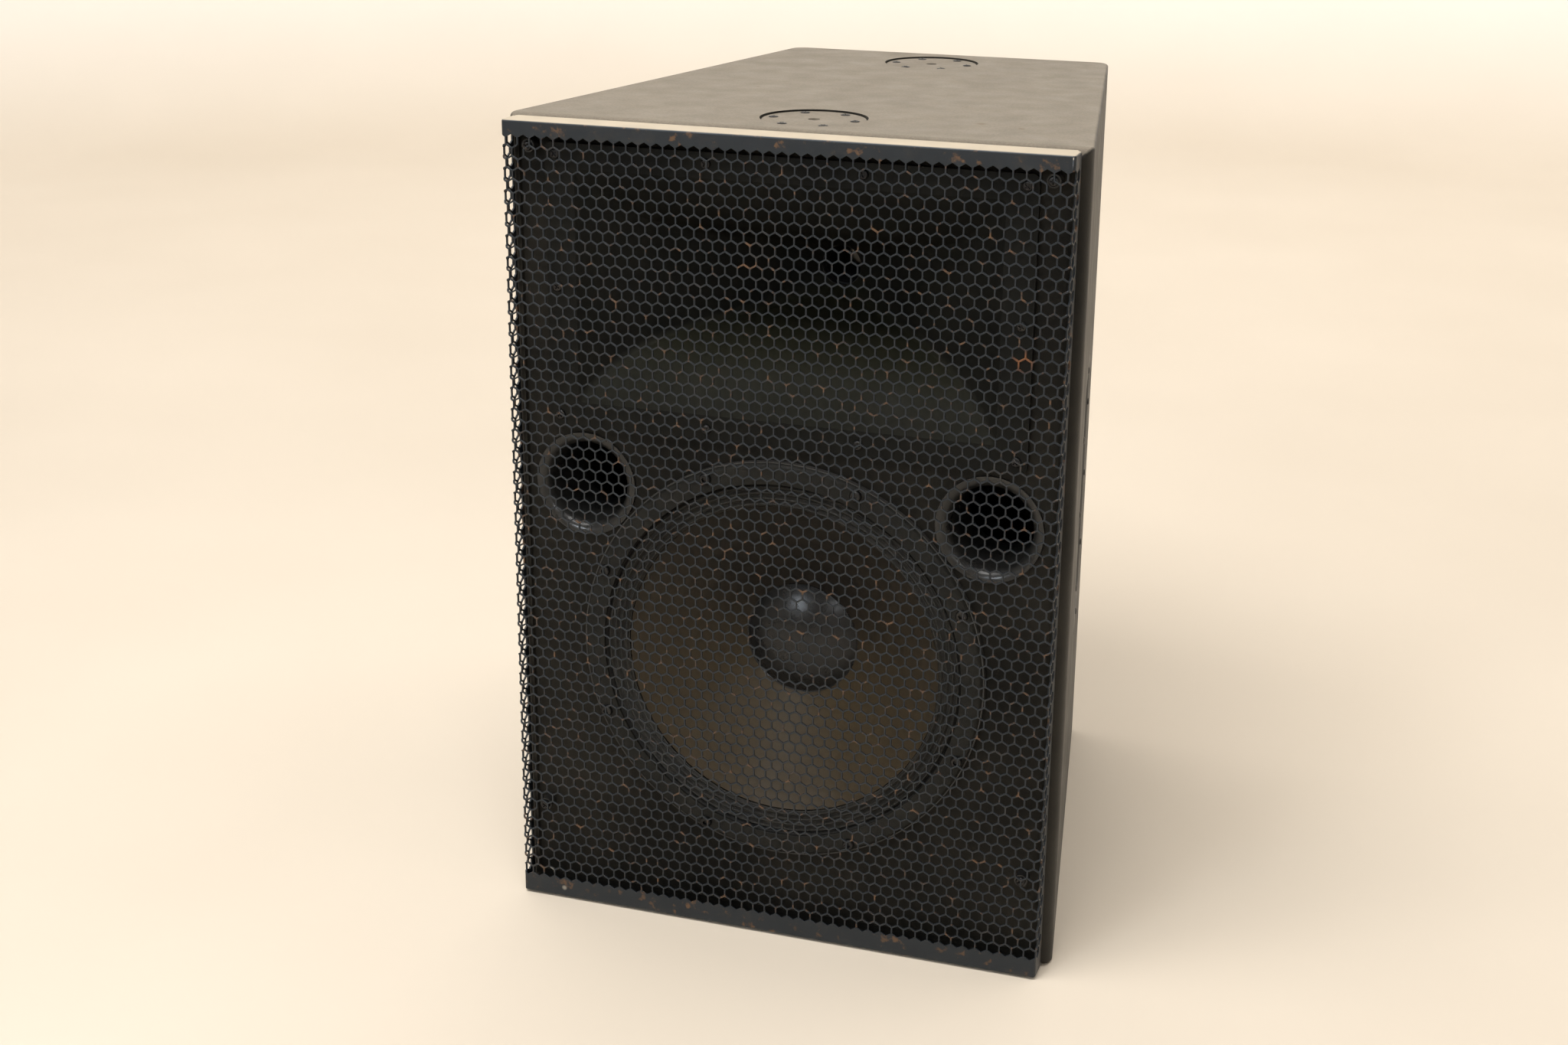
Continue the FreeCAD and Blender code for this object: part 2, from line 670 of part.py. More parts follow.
def woofer_surround():
    """Pleated cloth ring: four rounded folds between the cone's rim and the frame."""
    inner, outer = given("cone_rim") + 0.6, given("woofer_opening") - 6.7
    folds = 4
    pitch = (outer - inner) / (2 * folds)
    thickness = 0.8
    near = [(0, inner)]
    for fold in range(2 * folds):
        near.append(((fold + 1) % 2 * -3.2, inner + pitch * (fold + 1)))
    near[-1] = (near[-1][0], outer)
    far = [(depth + thickness, radius) for depth, radius in reversed(near)]
    return turned("woofer_surround", near + far, 0, BAFFLE_FRONT - 0.6, given("woofer_height"))


def woofer_moving_parts():
    """Cone, dust cap, coil former and winding, which travel together."""
    z = given("woofer_height")
    rim, neck, depth = given("cone_rim"), given("cone_neck"), given("cone_depth")
    coil = given("coil_radius")
    front = BAFFLE_FRONT
    paper = 1.2
    bow = 420
    cone = [(0, rim), (depth, neck, bow), (depth + 3, neck), (depth + 3, neck + 1.6),
            (paper + 0.8, rim, -bow)]
    cap_rim = neck + 1.6
    cap_height, cap_skin = 17, 0.7
    cap_seat = depth - 1.8
    outside = sphere_radius(cap_height, cap_rim)
    inside = sphere_radius(cap_height - cap_skin, cap_rim - 1.2)
    cap = [(cap_seat, cap_rim), (cap_seat - cap_height, 0, outside),
           (cap_seat - cap_height + cap_skin, 0), (cap_seat, cap_rim - 1.2, -inside)]
    former = [(depth - 1, coil - 0.2), (depth - 1, coil + 0.3), (depth + 68, coil + 0.3),
              (depth + 68, coil - 0.2)]
    winding = [(depth + 50, coil + 0.3), (depth + 50, coil + 1.4), (depth + 68, coil + 1.4),
               (depth + 68, coil + 0.3)]
    outlines = {"woofer_cone": cone, "woofer_dust_cap": cap, "woofer_coil_former": former,
                "woofer_coil_winding": winding}
    return [turned(label, outline, 0, front, z) for label, outline in outlines.items()]


def woofer_spider():
    """Corrugated centring disc between the coil former and the frame."""
    inner, outer = given("coil_radius") + 0.8, 99
    waves = 5
    pitch = (outer - inner) / (2 * waves)
    near = [(0, inner)]
    for wave in range(2 * waves):
        near.append(((wave + 1) % 2 * 3, inner + pitch * (wave + 1)))
    far = [(offset + 0.8, radius) for offset, radius in reversed(near)]
    place_y = BAFFLE_FRONT + 95
    return turned("woofer_spider", near + far, 0, place_y, given("woofer_height"))


def woofer_motor():
    """Front plate, ring magnet and vented pole piece behind the frame."""
    start = BAFFLE_FRONT + 113
    z = given("woofer_height")
    coil, magnet_radius = given("coil_radius"), given("magnet_radius")
    top = [(0, coil + 2.4), (0, 92), (11, 92), (11, coil + 2.4)]
    magnet = [(11, coil + 10), (11, magnet_radius), (33, magnet_radius), (33, coil + 10)]
    pole = [(2, coil - 1.4), (33, coil - 1.4), (33, 92), (45, 88), (45, 16),
            (2, 13)]
    outlines = {"woofer_top_plate": top, "woofer_magnet": magnet, "woofer_pole_piece": pole}
    return [turned(label, outline, 0, start, z) for label, outline in outlines.items()]


# ---- ports ----

def port_tubes():
    throat, flare, wall = given("port_throat"), given("port_flare"), given("port_wall")
    front = BAFFLE_FRONT - 2
    outline = [(0, throat + flare), (flare, throat, flare), (given("port_length"), throat),
               (given("port_length"), throat + wall), (flare + 2, throat + wall),
               (2, throat + flare)]
    return [turned(f"{side}_port_tube", outline, sign * given("port_across"), front, given("port_height"))
            for side, sign in (("left", -1), ("right", 1))]


# ---- rigging plates ----

def rigging_plate(label, y, surface, inward):
    """A round steel plate with a threaded boss, sunk in the top or bottom of the cabinet."""
    radius, plate, boss = given("rigging_radius"), given("rigging_plate"), given("rigging_boss")
    face = surface + inward * given("rigging_recess")
    back = face + inward * plate
    low_disc = face if inward > 0 else back
    disc = rod(label + "_disc", radius, plate, (0, y, low_disc))
    low_boss = back if inward > 0 else back - boss
    nut = rod(label + "_boss", 15, boss, (0, y, low_boss))
    tap = rod(label + "_tap", given("rigging_tap"), plate + boss + 4,
              (0, y, low_disc - 2 if inward > 0 else low_boss - 2))
    holes = [tap]
    for number, (dx, dy, _) in enumerate(circle_points(6, RIGGING_SCREWS)):
        holes.append(rod(f"{label}_hole{number}", 1.8, 10, (dx, y + dy, low_disc - 2)))
    return without(label, joined(label + "_blank", [disc, nut]), holes)


def rigging():
    plates, screws = [], []
    for end, surface, inward in (("top", HEIGHT, -1), ("bottom", 0, 1)):
        for spot in ("front", "rear"):
            y = given("rigging_" + spot)
            plates.append(rigging_plate(f"{end}_{spot}_rigging_plate", y, surface, inward))
            face = surface + inward * given("rigging_recess")
            for number, (dx, dy, _) in enumerate(circle_points(6, RIGGING_SCREWS)):
                name = f"{end}_{spot}_rigging_screw{number}"
                head_low = face if inward < 0 else face - 1.2
                shank_low = face - 12 if inward < 0 else face
                head = rod(name + "_head", 3.4, 1.2, (dx, y + dy, head_low))
                shank = rod(name + "_shank", 1.5, 12, (dx, y + dy, shank_low))
                screws.append(joined(name, [head, shank]))
    return plates + [grouped("rigging_screws", screws)]


# ---- side handles ----

def handle(side):
    """A pressed dish let into the wall, with a round bar across it."""
    across, up, corner = given("handle_across"), given("handle_up"), given("handle_corner")
    lip, sheet_size, dish = given("handle_lip"), given("handle_sheet"), given("handle_dish")
    body = new_body(f"{side}_handle_pressing")
    pad(body, "YZ_Plane", round_rectangle(across + lip, up + lip, corner + lip), sheet_size, reverse=True)
    pad(body, "YZ_Plane", round_rectangle(across, up, corner), dish, reverse=True)
    hollow = round_rectangle(across - sheet_size, up - sheet_size, corner - sheet_size)
    pocket(body, "YZ_Plane", hollow, dish - sheet_size)
    holes = [rod(f"{side}_dish_hole{number}", 1.8, 10, (-6, along, height), "X")
             for number, (along, height) in enumerate(handle_screw_points())]
    cup = side_place(without(f"{side}_handle_cup", body, holes), side)
    reach = up - sheet_size
    bar = new_body(f"{side}_handle_bar")
    rounded = bar.newObject("PartDesign::AdditiveCylinder", f"{side}_handle_tube")
    bind(rounded, Radius=given("handle_bar_radius"), Height=2 * reach)
    place(rounded, -given("handle_bar_sink"), 0, -reach)
    grip = side_place(bar, side)
    screws = []
    for number, (along, height) in enumerate(handle_screw_points()):
        name = f"{side}_handle_screw{number}"
        cap = rod(name + "_head", 3.4, 1, (0, along, height), "X")
        stem = rod(name + "_shank", 1.5, 14, (-14, along, height), "X")
        screws.append(joined(name, [cap, stem]))
    return cup, grip, side_place(grouped(f"{side}_handle_screw_set", screws), side)


def handles():
    left_cup, left_bar, left_screws = handle("left")
    right_cup, right_bar, right_screws = handle("right")
    return [left_cup, left_bar, right_cup, right_bar, grouped("handle_screws", [left_screws, right_screws])]


# ---- amplifier module ----

PLATE_BACK = REAR_FACE + given("plate_thickness")
SOCKETS = given("socket_height")


def amplifier_plate():
    """The aluminium plate on the back, with openings for the fan, sockets, switch and light."""
    plate = block("plate_blank", (-given("plate_across"), REAR_FACE, given("plate_low")),
                  (given("plate_across"), PLATE_BACK, given("plate_high")))
    start = REAR_FACE - 2
    depth = given("plate_thickness") + 4
    cuts = [rod("fan_cut", given("fan_bore"), depth, (0, start, given("fan_height")), "Y")]
    windows = {"inlet": (given("inlet_across"), 15, -12.5, 12.5),
               "switch": (given("switch_across"), 10, -14, 14),
               "latch": (given("input_across"), 3.6, 9, 13.8)}
    for name, (x, across, low, high) in windows.items():
        cuts.append(block(name + "_cut", (x - across, start, SOCKETS + low),
                          (x + across, start + depth, SOCKETS + high)))
    for name in ("input", "output"):
        cuts.append(rod(name + "_cut", 12.3, depth, (given(name + "_across"), start, SOCKETS), "Y"))
    cuts.append(rod("light_cut", 2.8, depth, (0, start, given("light_height")), "Y"))
    for number, (x, z) in enumerate(plate_screw_points()):
        cuts.append(rod(f"plate_hole{number}", 2.3, depth, (x, start, z), "Y"))
    return without("amplifier_plate", plate, cuts)


def amplifier_screws():
    screws = []
    for number, (x, z) in enumerate(plate_screw_points()):
        name = f"plate_screw{number}"
        head = rod(name + "_head", 4.5, 2.8, (x, PLATE_BACK, z), "Y")
        shank = rod(name + "_shank", 2, 16, (x, PLATE_BACK - 16, z), "Y")
        screws.append(joined(name, [head, shank]))
    return grouped("amplifier_screws", screws)


def amplifier_heatsink():
    across, low, high = given("sink_across"), given("sink_low"), given("sink_high")
    base = block("sink_base", (-across, PLATE_BACK, low), (across, PLATE_BACK + given("sink_base"), high))
    fins = [base]
    count = 19
    pitch = (2 * across - 3) / (count - 1)
    for step in range(count):
        x = -across + pitch * step
        top = PLATE_BACK + given("sink_base") + given("sink_fin")
        fins.append(block(f"fin{step}", (x, PLATE_BACK, low), (x + 3, top, high)))
    return joined("amplifier_heatsink", fins)


def amplifier_housing():
    """The sheet steel box behind the plate that seals the electronics from the cabinet's air."""
    across, low, high = given("bay_across"), given("bay_low"), given("bay_high")
    front = REAR_FACE - given("bay_depth")
    skin = given("bay_sheet")
    outside = block("bay_outside", (-across, front, low), (across, REAR_FACE, high))
    inside = block("bay_inside", (-across + skin, front + skin, low + skin),
                   (across - skin, REAR_FACE + 5, high - skin))
    return without("amplifier_housing", outside, [inside])


def amplifier_electronics():
    floor = REAR_FACE - given("bay_depth") + given("bay_sheet")
    board = block("amplifier_circuit_board", (-110, floor + 12, 400), (110, floor + 13.6, 630))
    cans = []
    for number in range(4):
        x = -66 + 44 * number
        cans.append(rod(f"capacitor{number}", 17, 48, (x, floor + 13.6, 600), "Y"))
    ring = [(0, 22), (0, 60), (5, 65), (50, 65), (55, 60), (55, 22)]
    transformer = turned("power_transformer", ring, 0, floor, 200)
    return [board, grouped("filter_capacitors", cans), transformer]


def cooling_fan():
    """A square axial fan behind the plate, its seven-bladed rotor and the wire guard outside."""
    z, half, depth = given("fan_height"), given("fan_half"), given("fan_depth")
    front = REAR_FACE - depth
    blank = block("fan_blank", (-half, front, z - half), (half, REAR_FACE, z + half))
    bore = rod("fan_frame_bore", given("fan_bore"), depth + 4, (0, front - 2, z), "Y")
    ring = without("fan_ring", blank, [bore])
    hub = rod("fan_motor_mount", given("fan_hub"), 4, (0, front, z), "Y")
    struts = [block("fan_strut_level", (-half + 1, front, z - 2), (half - 1, front + 4, z + 2)),
              block("fan_strut_upright", (-2, front, z - half + 1), (2, front + 4, z + half - 1))]
    frame = joined("cooling_fan_frame", [ring, hub] + struts)
    rotor_front = front + 5
    blades = [rod("fan_rotor_hub", given("fan_hub"), 17, (0, rotor_front, z), "Y")]
    pitch_turn = Rotation(Vector(1, 0, 0), 35)
    for number, (_, _, degrees) in enumerate(circle_points(7, 1)):
        blade = document.addObject("Part::Box", f"fan_blade{number}")
        bind(blade, Length=given("fan_bore") - given("fan_hub") - 1, Width=2, Height=20)
        turn = Rotation(Vector(0, 1, 0), -degrees)
        root = Vector(given("fan_hub").number - 1, 0, 0) + pitch_turn.multVec(Vector(0, -1, -10))
        corner = turn.multVec(root)
        blade.Placement = Placement(Vector(), turn.multiply(pitch_turn))
        bind(blade, Placement__Base__x=corner.x, Placement__Base__y=rotor_front + 8.5 + corner.y,
             Placement__Base__z=z + corner.z)
        blades.append(blade)
    rotor = joined("cooling_fan_rotor", blades)
    wires = []
    for number, radius in enumerate((15, 29, 43, 56)):
        hoop = document.addObject("Part::Torus", f"guard_hoop{number}")
        bind(hoop, Radius1=radius, Radius2=1.1)
        wires.append(place(hoop, 0, PLATE_BACK + 3, z, axis=(1, 0, 0), degrees=-90))
    for number, degrees in enumerate((45, 135)):
        bar = document.addObject("Part::Cylinder", f"guard_bar{number}")
        bind(bar, Radius=1.3, Height=136)
        reach = Rotation(Vector(0, 1, 0), degrees).multVec(Vector(0, 0, -68))
        wires.append(place(bar, reach.x, PLATE_BACK + 1.35, z + reach.z, axis=(0, 1, 0), degrees=degrees))
    guard = joined("cooling_fan_guard", wires)
    return [frame, rotor, guard]


def mains_inlet():
    """A three-pin appliance inlet; a mains lead's socket goes into it."""
    x, z = given("inlet_across"), SOCKETS
    flange = block("inlet_flange", (x - 25, PLATE_BACK, z - 15), (x + 25, PLATE_BACK + 3, z + 15))
    shell = block("inlet_shell", (x - 14.6, REAR_FACE - 22, z - 12), (x + 14.6, PLATE_BACK, z + 12))
    cavity = block("inlet_cavity", (x - 12, REAR_FACE - 15, z - 8.5), (x + 12, PLATE_BACK + 5, z + 8.5))
    hull = without("inlet_hull", joined("inlet_solid", [flange, shell]), [cavity])
    blades = []
    for number, (dx, dz) in enumerate(((-7, 1), (0, 4), (7, 1))):
        low = (x + dx - 1, REAR_FACE - 16, z + dz - 2)
        blades.append(block(f"inlet_blade{number}", low, (x + dx + 1, REAR_FACE - 1, z + dz + 2)))
    return joined("mains_inlet", [hull] + blades)


def mains_switch():
    """A rocker switch: a framed housing and the rocker that tips in it."""
    x, z = given("switch_across"), SOCKETS
    flange = block("switch_flange", (x - 13, PLATE_BACK, z - 17), (x + 13, PLATE_BACK + 2, z + 17))
    shell = block("switch_shell", (x - 9.7, REAR_FACE - 18, z - 13.7), (x + 9.7, PLATE_BACK, z + 13.7))
    room = block("switch_room", (x - 7.5, REAR_FACE - 10, z - 12), (x + 7.5, PLATE_BACK + 5, z + 12))
    bearing = rod("switch_bearing", 1.55, 17.6, (x - 8.8, PLATE_BACK - 1, z), "X")
    housing = without("mains_switch_housing", joined("switch_solid", [flange, shell]), [room, bearing])
    body = new_body("rocker_form")
    outline = [(-4, -6), (0, -10.4), (3.9, -10.2), (2.6, 0), (6.3, 9.6), (0, 10.4), (-4, 6)]
    pad(body, "YZ_Plane", outline, 14, offset=-7)
    pivot = rod("rocker_pivot", 1.5, 17, (x - 8.5, PLATE_BACK - 1, z), "X")
    rocker = joined("mains_switch_rocker", [place(body, x, PLATE_BACK - 1, z), pivot])
    return [housing, rocker]


def socket_shell(name, x, bore_radius, extra_cuts):
    """The flange and barrel of a round audio socket."""
    flange = block(name + "_flange", (x - 13, PLATE_BACK, SOCKETS - 15.5),
                   (x + 13, PLATE_BACK + 2, SOCKETS + 15.5))
    barrel = rod(name + "_barrel", 12, 30, (x, PLATE_BACK - 30, SOCKETS), "Y")
    bore = rod(name + "_bore", bore_radius, 40, (x, PLATE_BACK - 18, SOCKETS), "Y")
    return without(name + "_shell", joined(name + "_solid", [flange, barrel]), [bore] + extra_cuts)


def input_connector():
    """A three-hole socket whose tab lets the plug go."""
    x, z = given("input_across"), SOCKETS
    slot = block("latch_slot", (x - 3.4, PLATE_BACK - 12, z + 9), (x + 3.4, PLATE_BACK + 5, z + 13.6))
    core = rod("input_core", 7.9, 18, (x, PLATE_BACK - 19, z), "Y")
    holes = [rod(f"input_pin_hole{number}", 1.3, 20, (x + dx, PLATE_BACK - 15, z + dz), "Y")
             for number, (dx, dz, _) in enumerate(circle_points(3, 4.4, 90))]
    insert = without("input_insert", core, holes)
    socket = joined("input_connector", [socket_shell("input", x, 10, [slot]), insert])
    latch = block("input_latch", (x - 3, PLATE_BACK - 8, z + 10.4), (x + 3, PLATE_BACK + 4.5, z + 13.2))
    return [socket, latch]


def output_connector():
    """A three-pin socket that passes the signal on."""
    x, z = given("output_across"), SOCKETS
    pins = [rod(f"output_pin{number}", 1.2, 12, (x + dx, PLATE_BACK - 19, z + dz), "Y")
            for number, (dx, dz, _) in enumerate(circle_points(3, 4.4, 90))]
    return joined("output_connector", [socket_shell("output", x, 8.2, [])] + pins)


def status_light():
    outline = [(0, 0), (0, 2.5), (5, 2.5), (7.5, 0, -2.5)]
    return turned("status_light", outline, 0, PLATE_BACK - 4, given("light_height"))


# ---- assembly ----

def build():
    form = outer_form()
    pieces = end_panels(form) + side_panels(form)
    pieces += [front_baffle(), rear_panel(), wall_linings()]
    pieces += [front_grille()] + grille_fixings()
    pieces += [horn_flare(), horn_screws()] + compression_driver()
    pieces += [woofer_basket(), woofer_gasket(), woofer_bolts(), woofer_surround()]
    pieces += woofer_moving_parts() + [woofer_spider()] + woofer_motor()
    pieces += port_tubes() + rigging() + handles()
    pieces += [amplifier_plate(), amplifier_screws(), amplifier_heatsink(), amplifier_housing()]
    pieces += amplifier_electronics() + cooling_fan()
    pieces += [mains_inlet()] + mains_switch() + input_connector()
    pieces += [output_connector(), status_light()]
    return pieces


def check(pieces):
    """Stop if any object failed or any piece is not a sound solid."""
    for thing in document.Objects:
        if {"Invalid", "Error"} & set(thing.State):
            raise RuntimeError(f"{thing.Label} failed: {thing.State}")
    for piece in pieces:
        shape = piece.Shape
        if shape.isNull() or not shape.isValid() or not shape.Solids:
            raise RuntimeError(f"{piece.Label} has no sound solid")


def write(pieces):
    os.makedirs("parts", exist_ok=True)
    for piece in pieces:
        piece.Shape.exportStep(os.path.join("parts", piece.Label + ".step"))


PIECES = build()
document.recompute()
check(PIECES)
write(PIECES)
print(len(PIECES), "parts written")
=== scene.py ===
import json
import math
import random

import bmesh
import bpy
from mathutils import Matrix, Vector


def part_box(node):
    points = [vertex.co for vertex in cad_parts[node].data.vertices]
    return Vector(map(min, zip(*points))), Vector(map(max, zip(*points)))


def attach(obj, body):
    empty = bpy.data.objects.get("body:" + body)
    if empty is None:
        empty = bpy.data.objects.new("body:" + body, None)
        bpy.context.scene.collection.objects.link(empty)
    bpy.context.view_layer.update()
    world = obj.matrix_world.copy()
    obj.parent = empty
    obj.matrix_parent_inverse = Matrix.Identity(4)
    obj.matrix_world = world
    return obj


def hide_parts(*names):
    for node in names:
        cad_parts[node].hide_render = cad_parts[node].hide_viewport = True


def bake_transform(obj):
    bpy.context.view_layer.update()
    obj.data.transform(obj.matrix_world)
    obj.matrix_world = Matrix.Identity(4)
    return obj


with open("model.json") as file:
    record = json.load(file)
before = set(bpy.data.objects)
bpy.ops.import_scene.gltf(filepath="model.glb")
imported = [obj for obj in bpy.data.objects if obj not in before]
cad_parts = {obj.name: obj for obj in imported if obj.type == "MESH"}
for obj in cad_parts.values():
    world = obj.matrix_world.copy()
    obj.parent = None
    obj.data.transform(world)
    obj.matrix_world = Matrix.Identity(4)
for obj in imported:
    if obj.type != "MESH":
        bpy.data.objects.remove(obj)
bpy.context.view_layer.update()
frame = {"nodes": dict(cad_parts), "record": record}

MM = 0.001
SLOT_OF = {entry["node"]: entry["material_slot"] for entry in frame["record"]["subparts"]}
BODY_OF = {node: body for body, nodes in frame["record"]["behaviour"]["bodies"].items() for node in nodes}
chance = random.Random(11)

# Rust, two stains and two scratches on the grille: place and radius in metres, strength, colour.
GRILLE_MARKS = (
    ((0.2205, -0.286, 0.585), 0.011, 0.85, (0.15, 0.058, 0.02)),
    ((0.240, -0.279, 0.7605), 0.0045, 0.85, (0.10, 0.05, 0.03)),
    ((-0.247, -0.280, 0.7605), 0.0045, 0.8, (0.05, 0.035, 0.025)),
    ((-0.228, -0.286, 0.028), 0.004, 0.6, (0.45, 0.42, 0.38)),
    ((-0.214, -0.286, 0.0115), 0.003, 0.5, (0.40, 0.36, 0.30)),
)
# Places and radii of the brown spots on the top.
TOP_MARKS = (
    ((0.147, -0.163, 0.762), 0.006),
    ((0.186, -0.177, 0.762), 0.0045),
    ((-0.11, -0.02, 0.762), 0.003),
    ((0.05, 0.11, 0.762), 0.0028),
)


# ---------------------------------------------------------------- materials

def new_shader(name):
    """A material, its tree, its shader and object coordinates in metres."""
    material = bpy.data.materials.new(name)
    material.use_nodes = True
    tree = material.node_tree
    shader = tree.nodes["Principled BSDF"]
    coordinates = tree.nodes.new("ShaderNodeTexCoord")
    return material, tree, shader, coordinates.outputs["Object"]


def noise(tree, coordinates, scale, detail=3.0, roughness=0.55, stretch=None):
    """Smooth noise from 0 to 1, mostly between 0.3 and 0.7; stretch scales it along each axis."""
    node = tree.nodes.new("ShaderNodeTexNoise")
    node.inputs["Scale"].default_value = scale
    node.inputs["Detail"].default_value = detail
    node.inputs["Roughness"].default_value = roughness
    if stretch:
        mapping = tree.nodes.new("ShaderNodeMapping")
        mapping.inputs["Scale"].default_value = stretch
        tree.links.new(coordinates, mapping.inputs["Vector"])
        coordinates = mapping.outputs["Vector"]
    tree.links.new(coordinates, node.inputs["Vector"])
    return node.outputs["Fac"]


def ramp(tree, value, stops):
    """A colour ramp; each stop is (position, colour)."""
    node = tree.nodes.new("ShaderNodeValToRGB")
    elements = node.color_ramp.elements
    while len(elements) < len(stops):
        elements.new(0.5)
    for element, (position, colour) in zip(elements, stops):
        element.position = position
        element.color = (*colour, 1.0)
    tree.links.new(value, node.inputs["Fac"])
    return node.outputs["Color"]


def spread(tree, value, low, high, from_low=0.3, from_high=0.7):
    """Map a value from one range to another and hold it there."""
    node = tree.nodes.new("ShaderNodeMapRange")
    node.inputs["From Min"].default_value = from_low
    node.inputs["From Max"].default_value = from_high
    node.inputs["To Min"].default_value = low
    node.inputs["To Max"].default_value = high
    tree.links.new(value, node.inputs["Value"])
    return node.outputs["Result"]


def arithmetic(tree, operation, first, second):
    """One sum or product, held between 0 and 1."""
    node = tree.nodes.new("ShaderNodeMath")
    node.operation = operation
    node.use_clamp = True
    for socket, value in zip(node.inputs, (first, second)):
        if isinstance(value, (int, float)):
            socket.default_value = value
        else:
            tree.links.new(value, socket)
    return node.outputs[0]


def blend_colours(tree, amount, first, second):
    """The first colour at 0 and the second at 1."""
    node = tree.nodes.new("ShaderNodeMix")
    node.data_type = "RGBA"
    colour_a, colour_b, factor = node.inputs[6], node.inputs[7], node.inputs[0]
    tree.links.new(amount, factor)
    for socket, value in ((colour_a, first), (colour_b, second)):
        if isinstance(value, tuple):
            socket.default_value = (*value, 1.0)
        else:
            tree.links.new(value, socket)
    return node.outputs[2]


def bump(tree, shader, heights):
    """Chain of bumps; each is (height socket, depth in metres, strength)."""
    previous = None
    for height, depth, strength in heights:
        node = tree.nodes.new("ShaderNodeBump")
        node.inputs["Distance"].default_value = depth
        node.inputs["Strength"].default_value = strength
        tree.links.new(height, node.inputs["Height"])
        if previous:
            tree.links.new(previous, node.inputs["Normal"])
        previous = node.outputs["Normal"]
    tree.links.new(previous, shader.inputs["Normal"])


def upward(tree, low, high):
    """How far a surface faces up, from 0 to 1."""
    geometry = tree.nodes.new("ShaderNodeNewGeometry")
    split = tree.nodes.new("ShaderNodeSeparateXYZ")
    tree.links.new(geometry.outputs["Normal"], split.inputs["Vector"])
    return spread(tree, split.outputs["Z"], 0.0, 1.0, low, high)


def nearness(tree, coordinates, point, radius):
    """1 at a point, falling to 0 at a radius round it, in metres."""
    node = tree.nodes.new("ShaderNodeVectorMath")
    node.operation = "DISTANCE"
    node.inputs[1].default_value = point
    tree.links.new(coordinates, node.inputs[0])
    return spread(tree, node.outputs["Value"], 1.0, 0.0, radius * 0.4, radius)


def above(tree, coordinates, height):
    """1 above a height in metres, 0 below it."""
    split = tree.nodes.new("ShaderNodeSeparateXYZ")
    tree.links.new(coordinates, split.inputs["Vector"])
    return spread(tree, split.outputs["Z"], 0.0, 1.0, height - 0.0005, height + 0.0005)


def moulded(name, dark, light, rough=(0.35, 0.5), metallic=0.0, patch=14.0, grain=900.0,
            depth=0.00006, strength=0.5, coat=0.0, sheen=0.0, stretch=None, specular=0.5, dust_and_painted_light=None):
    """Plastic, paint, cast or machined metal: mottled colour, uneven gloss and a fine grain."""
    material, tree, shader, coordinates = new_shader(name)
    patches = noise(tree, coordinates, patch, 4.0, 0.6, stretch)
    colour = ramp(tree, patches, [(0.32, dark), (0.68, light)])
    # Faces that look up are tinted towards the given colour: dust and painted light from above.
    if dust_and_painted_light:
        colour = blend_colours(tree, upward(tree, 0.1, 0.9), colour, dust_and_painted_light)
    tree.links.new(colour, shader.inputs["Base Color"])
    uneven = noise(tree, coordinates, patch * 3.1, 3.0)
    tree.links.new(spread(tree, uneven, *rough), shader.inputs["Roughness"])
    shader.inputs["Metallic"].default_value = metallic
    shader.inputs["Specular IOR Level"].default_value = specular
    shader.inputs["Coat Weight"].default_value = coat
    shader.inputs["Sheen Weight"].default_value = sheen
    bump(tree, shader, [(noise(tree, coordinates, grain, 2.0, 0.5, stretch), depth, strength)])
    return material


def cabinet_paint():
    """Pebbled black paint over plywood, its top painted pale as dust and painted reflection, with a few
    brown marks and worn patches.
    """
    material, tree, shader, coordinates = new_shader("cabinet_textured_paint")
    patches = noise(tree, coordinates, 9.0, 5.0, 0.6)
    paint = ramp(tree, patches, [(0.3, (0.0045, 0.0044, 0.0038)), (0.7, (0.009, 0.0085, 0.007))])
    film = spread(tree, noise(tree, coordinates, 26.0, 6.0, 0.7), 0.78, 1.0, 0.3, 0.72)
    grit = spread(tree, noise(tree, coordinates, 420.0, 3.0, 0.7), 0.72, 1.0, 0.35, 0.6)
    film = arithmetic(tree, "MULTIPLY", film, grit)
    # The up-facing top is painted pale beige: partly dust, partly a painted reflection of the bright room.
    dust_and_painted_light = arithmetic(tree, "MULTIPLY", upward(tree, 0.55, 0.98), film)
    dust_and_painted_light = arithmetic(tree, "MULTIPLY", dust_and_painted_light, above(tree, coordinates, 0.755))
    paint = blend_colours(tree, dust_and_painted_light, paint, (0.192, 0.162, 0.124))
    side_dust = spread(tree, noise(tree, coordinates, 6.0, 5.0, 0.65), 0.0, 0.16, 0.4, 0.75)
    paint = blend_colours(tree, side_dust, paint, (0.11, 0.096, 0.076))
    for point, radius in TOP_MARKS:
        mark = arithmetic(tree, "MULTIPLY", nearness(tree, coordinates, point, radius), 0.8)
        paint = blend_colours(tree, mark, paint, (0.09, 0.055, 0.025))
    tree.links.new(paint, shader.inputs["Base Color"])
    gloss = spread(tree, noise(tree, coordinates, 30.0, 4.0), 0.42, 0.56)
    tree.links.new(gloss, shader.inputs["Roughness"])
    shader.inputs["Specular IOR Level"].default_value = 0.11
    shader.inputs["Sheen Weight"].default_value = 0.06
    shader.inputs["Sheen Roughness"].default_value = 0.5
    shader.inputs["Sheen Tint"].default_value = (0.95, 0.88, 0.76, 1.0)
    pebbles = tree.nodes.new("ShaderNodeTexVoronoi")
    pebbles.feature = "SMOOTH_F1"
    pebbles.inputs["Scale"].default_value = 720.0
    tree.links.new(coordinates, pebbles.inputs["Vector"])
    bump(tree, shader, [(pebbles.outputs["Distance"], 0.00022, 0.35),
                        (noise(tree, coordinates, 240.0, 3.0), 0.0002, 0.3)])
    return material


